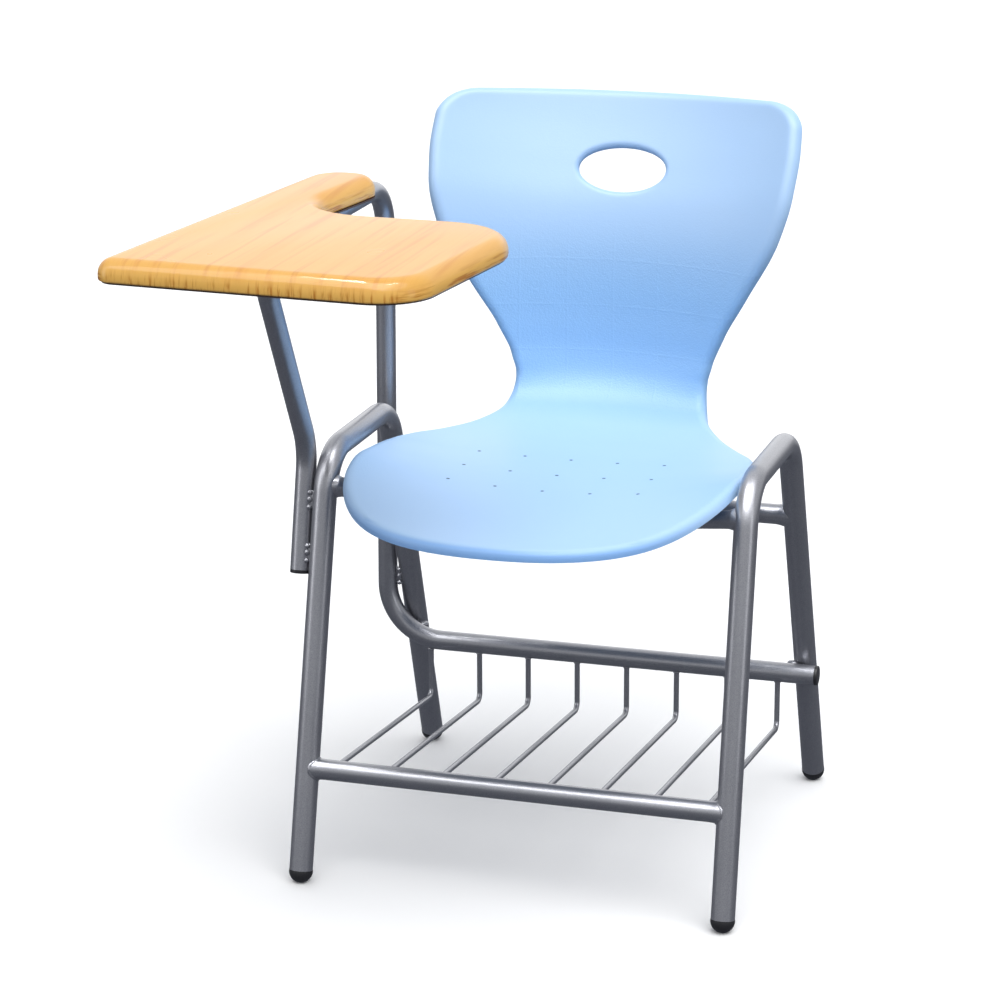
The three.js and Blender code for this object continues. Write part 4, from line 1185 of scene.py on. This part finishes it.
def smooth(pairs, s):
    """A smooth curve through (distance, value) pairs that never overshoots."""
    xs, ys = np.array(pairs).T
    s = np.clip(s, xs[0], xs[-1])
    rise = np.diff(ys) / np.diff(xs)
    slope = np.zeros(len(xs))
    left, right = rise[:-1], rise[1:]
    both = left * right > 0
    slope[1:-1][both] = 2 * (left * right)[both] / (left + right)[both]
    i = np.clip(np.searchsorted(xs, s, side="right") - 1, 0, len(xs) - 2)
    span = xs[i + 1] - xs[i]
    t = (s - xs[i]) / span
    bend = (1 - t) ** 2 * t * slope[i] * span - t * t * (1 - t) * slope[i + 1] * span
    return ys[i] + (ys[i + 1] - ys[i]) * t * t * (3 - 2 * t) + bend


print("half width at the waist:", round(float(smooth(WIDTHS, reach_z(460))), 1), "mm")

# %% A point of the shell, and the way its face looks
CROWN_START, CROWN_DROP = reach_z(640), 21
CURL = 3.4e-9


def shell_point(x, flat_s):
    """A point of the shell, in millimetres, from its place on the flat pattern."""
    share = np.maximum(flat_s - CROWN_START, 0) / (SPINE_LENGTH - CROWN_START)
    s = flat_s - CROWN_DROP * (x / SEAT_HALF) ** 2 * share**2
    y, z = (np.interp(s, spine_run, spine[:, k]) for k in (0, 1))
    ty, tz = (np.interp(s, spine_run, spine_slope[:, k]) for k in (0, 1))
    curl = np.clip((reach_y(140) - s) / (reach_y(140) - reach_y(20)), 0, 1)
    lift = smooth(DISHES, s) * x**2 + CURL * curl * x**4
    return np.stack([x + 0 * s, y - tz * lift, z + ty * lift], -1)


def shell_normal(x, s):
    """The outward direction of the shell's face."""
    across = shell_point(x + 0.5, s) - shell_point(x - 0.5, s)
    ahead, behind = np.minimum(s + 0.5, SPINE_LENGTH), np.maximum(s - 0.5, 0)
    along = shell_point(x, ahead) - shell_point(x, behind)
    normal = np.cross(across, along)
    return normal / np.linalg.norm(normal, axis=-1, keepdims=True)


top_middle = shell_point(np.array(0.0), np.array(SPINE_LENGTH))
print("top of the back:", [round(float(v), 1) for v in top_middle])

# %% [markdown]
# ## Round corners
# A grid has four square corners, and the shell has none: its front is one
# wide curve and its top corners are round. Cutting the corners off would
# leave ragged faces along the edge, where the light is strictest. So the grid
# is bent on the flat pattern instead, its last rows sliding round the curve,
# and every row still ends exactly on the edge.

# %% Round corners on the flat pattern
FRONT_POWER, TOP_CORNER = 2.33, 41


def on_pattern(across, s):
    """Turns a grid place into (x, distance along), with rounded corners."""
    size, sign = np.abs(across), np.sign(across)
    q0 = np.clip(1 - s / FRONT_CAP, 0, 1)
    n = FRONT_POWER
    front_x = sign * size * (1 - q0**n / 2) ** (1 / n) * SEAT_HALF
    front_s = FRONT_CAP * (1 - q0 * (1 - size**n / 2) ** (1 / n))
    width = smooth(WIDTHS, s)
    share = TOP_CORNER / width
    start = SPINE_LENGTH - TOP_CORNER
    p = np.clip((size - 1 + share) / share, 0, 1)
    q = np.clip((s - start) / TOP_CORNER, 0, 1)
    end = start + q * np.sqrt(1 - p**2 / 2) * TOP_CORNER
    corner_x = sign * smooth(WIDTHS, end) * (1 - share + share * p * np.sqrt(1 - q**2 / 2))
    in_front, in_corner = s < FRONT_CAP, (s > start) & (size > 1 - share)
    x = np.where(in_front, front_x, np.where(in_corner, corner_x, across * width))
    return x, np.where(in_front, front_s, np.where(in_corner, end, s))


corner = on_pattern(np.array([1.0]), np.array([SPINE_LENGTH]))
print("the grid's corner slides to", [round(float(v[0]), 1) for v in corner])

# %% Helpers for the rolled rim


def edge_distance(x, s):
    """How far a place on the pattern is from the pattern's edge."""
    n = 240
    across = np.r_[np.linspace(-1, 1, n), np.ones(3 * n), np.linspace(1, -1, n), -np.ones(3 * n)]
    along = np.r_[
        np.zeros(n), np.linspace(0, SPINE_LENGTH, 3 * n), np.full(n, SPINE_LENGTH),
        np.linspace(SPINE_LENGTH, 0, 3 * n)]
    edge = np.stack(on_pattern(across, along), -1)
    step = np.roll(edge, -1, 0) - edge
    best = np.full(len(x), 1e9)
    for (ex, es), (dx, ds) in zip(edge, step):
        t = np.clip(((x - ex) * dx + (s - es) * ds) / (dx * dx + ds * ds + 1e-12), 0, 1)
        best = np.minimum(best, np.hypot(x - ex - t * dx, s - es - t * ds))
    return best


def turned_down(distance, radius):
    """How far the face has dropped at a distance from a rolled edge."""
    into = np.maximum(radius - distance, 0)
    return radius - np.sqrt(np.maximum(radius**2 - into**2, 0))


LIP = 9
print("drop at the edge:", float(turned_down(np.array(0.0), LIP)), "mm")

# %% [markdown]
# ## The grid becomes the seat
# The lines of the grid are not evenly spaced. Across the middle, twelve steps
# make one vent pitch, so that each vent falls on a point, and near the edge
# they crowd together to follow the rolled rim. The nearest point is moved
# exactly onto each vent. Then every point gets its place in space, dropped by
# the roll where it is near the edge. Three attributes remember where a point
# came from, which later steps use to find it again.

# %% Lay a grid over the pattern
RIM_STEPS = np.array([0, 0.7, 1.6, 2.7, 4.0, 5.5, 7.2, 9.5, 12.5])
half = np.r_[np.arange(0, 45) * VENT_PITCH[0] / 12 / SEAT_HALF, 1 - RIM_STEPS[::-1] / 170]
ACROSS = np.r_[-half[:0:-1], half]
ALONG = np.r_[
    RIM_STEPS, np.linspace(16.5, SPINE_LENGTH - 16.5, 196), SPINE_LENGTH - RIM_STEPS[::-1]]
start_clean()
bpy.ops.mesh.primitive_grid_add(
    x_subdivisions=len(ACROSS) - 1, y_subdivisions=len(ALONG) - 1, size=2)
shell = bpy.context.object
spots = np.array([v.co for v in shell.data.vertices])
column = np.rint((spots[:, 0] + 1) / 2 * (len(ACROSS) - 1)).astype(int)
row = np.rint((spots[:, 1] + 1) / 2 * (len(ALONG) - 1)).astype(int)
flat_x, flat_s = on_pattern(ACROSS[column], ALONG[row])
print("grid of", len(ACROSS), "by", len(ALONG), "lines")

# %% Move grid points onto the vent holes
VENTS = [
    (c * VENT_PITCH[0], reach_y(VENT_MIDDLE_Y + r * VENT_PITCH[1]))
    for r in (-1, 0, 1) for c in (-2, -1, 0, 1, 2)]
vent_points = []
for x, s in VENTS:
    nearest = int(np.argmin(np.hypot(flat_x - x, flat_s - s)))
    flat_x[nearest], flat_s[nearest] = x, s
    vent_points.append(nearest)
print("vents on", len(set(vent_points)), "different points")

# %% Shape the grid
near_edge = np.where(
    (np.abs(ACROSS[column]) > 0.88) | (ALONG[row] < 16) | (ALONG[row] > SPINE_LENGTH - 16))[0]
distance = np.full(len(flat_x), 99.0)
distance[near_edge] = edge_distance(flat_x[near_edge], flat_s[near_edge])
drops = turned_down(distance, LIP)[:, None]
shell_spots = shell_point(flat_x, flat_s) - shell_normal(flat_x, flat_s) * drops
for vert, (x, y, z) in zip(shell.data.vertices, shell_spots):
    vert.co = place(x, y, z)
for title, values in (("flat_x", flat_x), ("flat_s", flat_s)):
    layer = shell.data.attributes.new(title, "FLOAT", "POINT")
    layer.data.foreach_set("value", values.astype(np.float32))
marks = np.zeros(len(flat_x), dtype=np.int32)
marks[vent_points] = 1
layer = shell.data.attributes.new("vent", "INT", "POINT")
layer.data.foreach_set("value", marks)
print("shell sheet from", shell_spots.min(0).round(1), "to", shell_spots.max(0).round(1), "mm")

# %% [markdown]
# ## The vents
# Fifteen small holes let the seat breathe. A boolean with fifteen pins would
# work, but it breaks the clean rows round each hole. Bevelling a single point
# turns it into a small ring with a face inside, and deleting that face leaves
# a hole that its neighbours already fit.

# %% Cut the vents: bevel a point into a ring, then delete its face
VENT_REACH = 0.0006
edit()
layers = bmesh.from_edit_mesh(shell.data).verts.layers
vent_layer = layers.int["vent"]
print("vents:", pick("verts", lambda v: v[vent_layer] == 1))
bpy.ops.mesh.bevel(
    offset_type="OFFSET", offset=1.4 * MM, segments=3, affect="VERTICES", clamp_overlap=False)
vent_spots = [place(*shell_point(np.array(x), np.array(s))) for x, s in VENTS]


def is_vent(face):
    """True for a small new face that lies on a vent."""
    middle = face.calc_center_median()
    return min((middle - spot).length for spot in vent_spots) < VENT_REACH


print("holes:", pick("faces", is_vent))
bpy.ops.mesh.delete(type="FACE")

# %% [markdown]
# ## The rim
# The mould turns the shell's edge down, which makes it stiff and kind to the
# legs. The grid already rolls over the edge, so the border only has to be
# extruded straight down. A plain extrude moves every point by the same
# amount, but here each point has its own direction, so the new ring is made
# in place and then each of its points is moved by a rule.

# %% Helpers for the rim
edit("EDGE")
layers = bmesh.from_edit_mesh(shell.data).verts.layers
flat_x_layer, flat_s_layer = layers.float["flat_x"], layers.float["flat_s"]


def is_outer(edge):
    """True for a border edge that isn't round a vent."""
    if not edge.is_boundary:
        return False
    x, s = edge.verts[0][flat_x_layer], edge.verts[0][flat_s_layer]
    return min(math.hypot(x - vx, s - vs) for vx, vs in VENTS) > 6


def move_ring(rule):
    """Moves the selected ring: rule gives each point's flat place and its drop."""
    shape = bmesh.from_edit_mesh(shell.data)
    ring = [v for v in shape.verts if v.select]
    x, s, drop = (np.array(value, float) for value in zip(*(rule(v) for v in ring)))
    target = shell_point(x, s) - shell_normal(x, s) * drop[:, None]
    for vert, spot in zip(ring, target):
        vert.co = place(*spot)
    bmesh.update_edit_mesh(shell.data)


print("rim edges:", pick("edges", is_outer))

# %% Turn the outer lip straight down
for drop in (10.5, 12.0):
    bpy.ops.mesh.extrude_edges_move()
    move_ring(lambda v: (v[flat_x_layer], v[flat_s_layer], drop))
print("rim drops to", drop, "mm")

# %% [markdown]
# ## The handle
# The hole in the back is a handle, and its rim is rolled like the outer edge.
# An inset can't turn a square block of faces into an oval. So a block is
# deleted, its border is extruded inwards ring by ring, and each ring is laid
# on an oval a little smaller than the last. The final rings go over the roll
# and down through the wall.

# %% Delete the block that gives way to the handle
HANDLE_S = reach_z(696.8)
HANDLE_HALF = (48.8, 25.4)
BLOCK = (72, 46)
HANDLE_LIP = 6


def in_block(face):
    """True for a face of the block that gives way to the handle."""
    return all(
        abs(v[flat_x_layer]) < BLOCK[0] and abs(v[flat_s_layer] - HANDLE_S) < BLOCK[1]
        for v in face.verts)


def in_reach(edge):
    """True for a border edge near the handle."""
    vert = edge.verts[0]
    return (edge.is_boundary and abs(vert[flat_x_layer]) < BLOCK[0]
            and abs(vert[flat_s_layer] - HANDLE_S) < BLOCK[1])


print("handle block:", pick("faces", in_block))
bpy.ops.mesh.delete(type="FACE")
print("handle border:", pick("edges", in_reach))

# %% Roll the handle's rim, ring by ring


def handle_rule(margin, blend, drop):
    """Rings go from the block's border to an ellipse round the opening."""

    def rule(vert):
        x, s = vert[flat_x_layer], vert[flat_s_layer]
        turn = math.atan2((s - HANDLE_S) / BLOCK[1], x / BLOCK[0])
        ex = (HANDLE_HALF[0] + margin) * math.cos(turn)
        es = HANDLE_S + (HANDLE_HALF[1] + margin) * math.sin(turn)
        return (x + (ex - x) * blend, s + (es - s) * blend, drop)

    return rule


for blend in (0.35, 0.7):
    bpy.ops.mesh.extrude_edges_move()
    move_ring(handle_rule(10, blend, 0))
for margin in (10, 8, 6, 4.4, 3, 1.9, 1.0, 0.35, 0):
    bpy.ops.mesh.extrude_edges_move()
    move_ring(handle_rule(margin, 1, float(turned_down(np.array(margin), HANDLE_LIP))))
for extra in (1.5, 3):
    bpy.ops.mesh.extrude_edges_move()
    move_ring(handle_rule(0, 1, HANDLE_LIP + extra))
bpy.ops.object.mode_set(mode="OBJECT")
print("shell has", len(shell.data.polygons), "faces")

# %% [markdown]
# ## The wall
# So far the shell is a sheet without thickness. A Solidify modifier copies it
# inwards and closes the rim, the vents and the handle in one go, and even
# thickness keeps the wall true where the form bends sharply. It is applied at
# once, because the bosses are joined to the finished shell.

# %% Give the sheet its wall
WALL = 4.5
wall = shell.modifiers.new("wall", "SOLIDIFY")
wall.thickness = WALL * MM
wall.offset = -1
wall.use_even_offset = True
wall.use_quality_normals = True
bpy.ops.object.modifier_apply(modifier="wall")
for title in ("flat_x", "flat_s", "vent"):
    shell.data.attributes.remove(shell.data.attributes[title])
bpy.ops.object.shade_smooth_by_angle(angle=math.radians(50))
print("with its wall the shell has", len(shell.data.polygons), "faces")

# %% [markdown]
# ## Bosses
# Four round bosses under the seat take the screws. Moulded bosses taper a
# little so that they leave the mould, so each starts as a cone, has its lower
# edge rounded and reaches up into the wall, where its top is hidden.

# %% Bosses under the seat, for the screws
BOSS_X, BOSS_SPOTS, BOSS_SINK = 85, ((-120, 410.2), (62, 412.35)), 3.0
bosses = []
for side in (-BOSS_X, BOSS_X):
    for y, base in BOSS_SPOTS:
        top = float(shell_point(np.array(float(side)), np.array(reach_y(y)))[2]) - BOSS_SINK
        start_clean()
        bpy.ops.mesh.primitive_cone_add(
            vertices=40, radius1=0.012, radius2=0.014, depth=(top - base) * MM,
            location=place(side, y, (top + base) / 2))
        boss = settle()
        edit("EDGE")
        pick("edges", lambda e: all(v.co.z < (base + 0.1) * MM for v in e.verts))
        bpy.ops.mesh.bevel(offset=0.0008, segments=2)
        bpy.ops.object.mode_set(mode="OBJECT")
        bpy.ops.object.shade_smooth_by_angle(angle=math.radians(40))
        bosses.append(boss)
shell = join([shell] + bosses)
hand_over(shell, "shell", shell_plastic, "shell_plastic", "seat_shell")

# %% [markdown]
# ## Screws
# Pan-head screws hold the shell and the tablet, pointing up. What repeats is
# modelled once: a disc is rounded into a domed head, a round recess is
# inset and pushed in, and the shaft is extruded from the other side. It is
# then copied to each place, every copy with a mesh of its own, and only the
# shaft's tip is moved, as some screws are longer than others.

# %% One screw
HEAD_R, HEAD_H = 0.0048, 0.0026
start_clean()
bpy.ops.mesh.primitive_cylinder_add(
    vertices=32, radius=HEAD_R, depth=HEAD_H, location=(0, 0, -HEAD_H / 2))
model_screw = settle()
edit("EDGE")
pick("edges", lambda e: all(v.co.z < -0.0025 for v in e.verts))
bpy.ops.mesh.bevel(offset=0.0016, segments=5)
pick("faces", lambda f: f.normal.z < -0.99)
bpy.ops.mesh.inset(thickness=0.0012)
bpy.ops.mesh.extrude_region_move(TRANSFORM_OT_translate={"value": (0, 0, 0.0009)})
pick("faces", lambda f: f.normal.z > 0.99)
bpy.ops.mesh.inset(thickness=0.0024)
bpy.ops.mesh.extrude_region_move(TRANSFORM_OT_translate={"value": (0, 0, 0.0125)})
mend()
bpy.ops.object.shade_smooth_by_angle(angle=math.radians(30))
print("model screw:", [round(v, 4) for v in model_screw.dimensions])

# %% Copy it to every place
screw_nodes = [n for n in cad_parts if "_screw_" in n]
for node in screw_nodes:
    node_low, node_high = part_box(node)
    start_clean()
    copy = model_screw.copy()
    copy.data = model_screw.data.copy()
    bpy.context.scene.collection.objects.link(copy)
    copy.select_set(True)
    bpy.context.view_layer.objects.active = copy
    middle = (node_low + node_high) / 2
    copy.location = (middle.x, middle.y, node_low.z + HEAD_H)
    settle()
    tip = node_high.z - 0.0002
    for vert in copy.data.vertices:
        if vert.co.z > node_low.z + 0.0036:
            vert.co.z = tip
    hand_over(copy, f"pan_{node}", zinc, "zinc", node)
bpy.data.objects.remove(model_screw)
print("screws:", len(screw_nodes))

# %% [markdown]
# ## Plates, brackets and strips
# These flat steel parts are cut and folded sheet, and the technical model
# already has their bends, holes and rounded corners. Making them again would
# add nothing, so they keep their shape and only get the frame's paint.

# %% Paint the plates, brackets and strips
painted = []
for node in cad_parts:
    if node.startswith(("seat_plate", "seat_bracket", "tablet_strip")):
        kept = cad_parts[node]
        kept.data.materials.clear()
        kept.data.materials.append(frame_paint)
        painted.append(node)
print("painted:", painted)
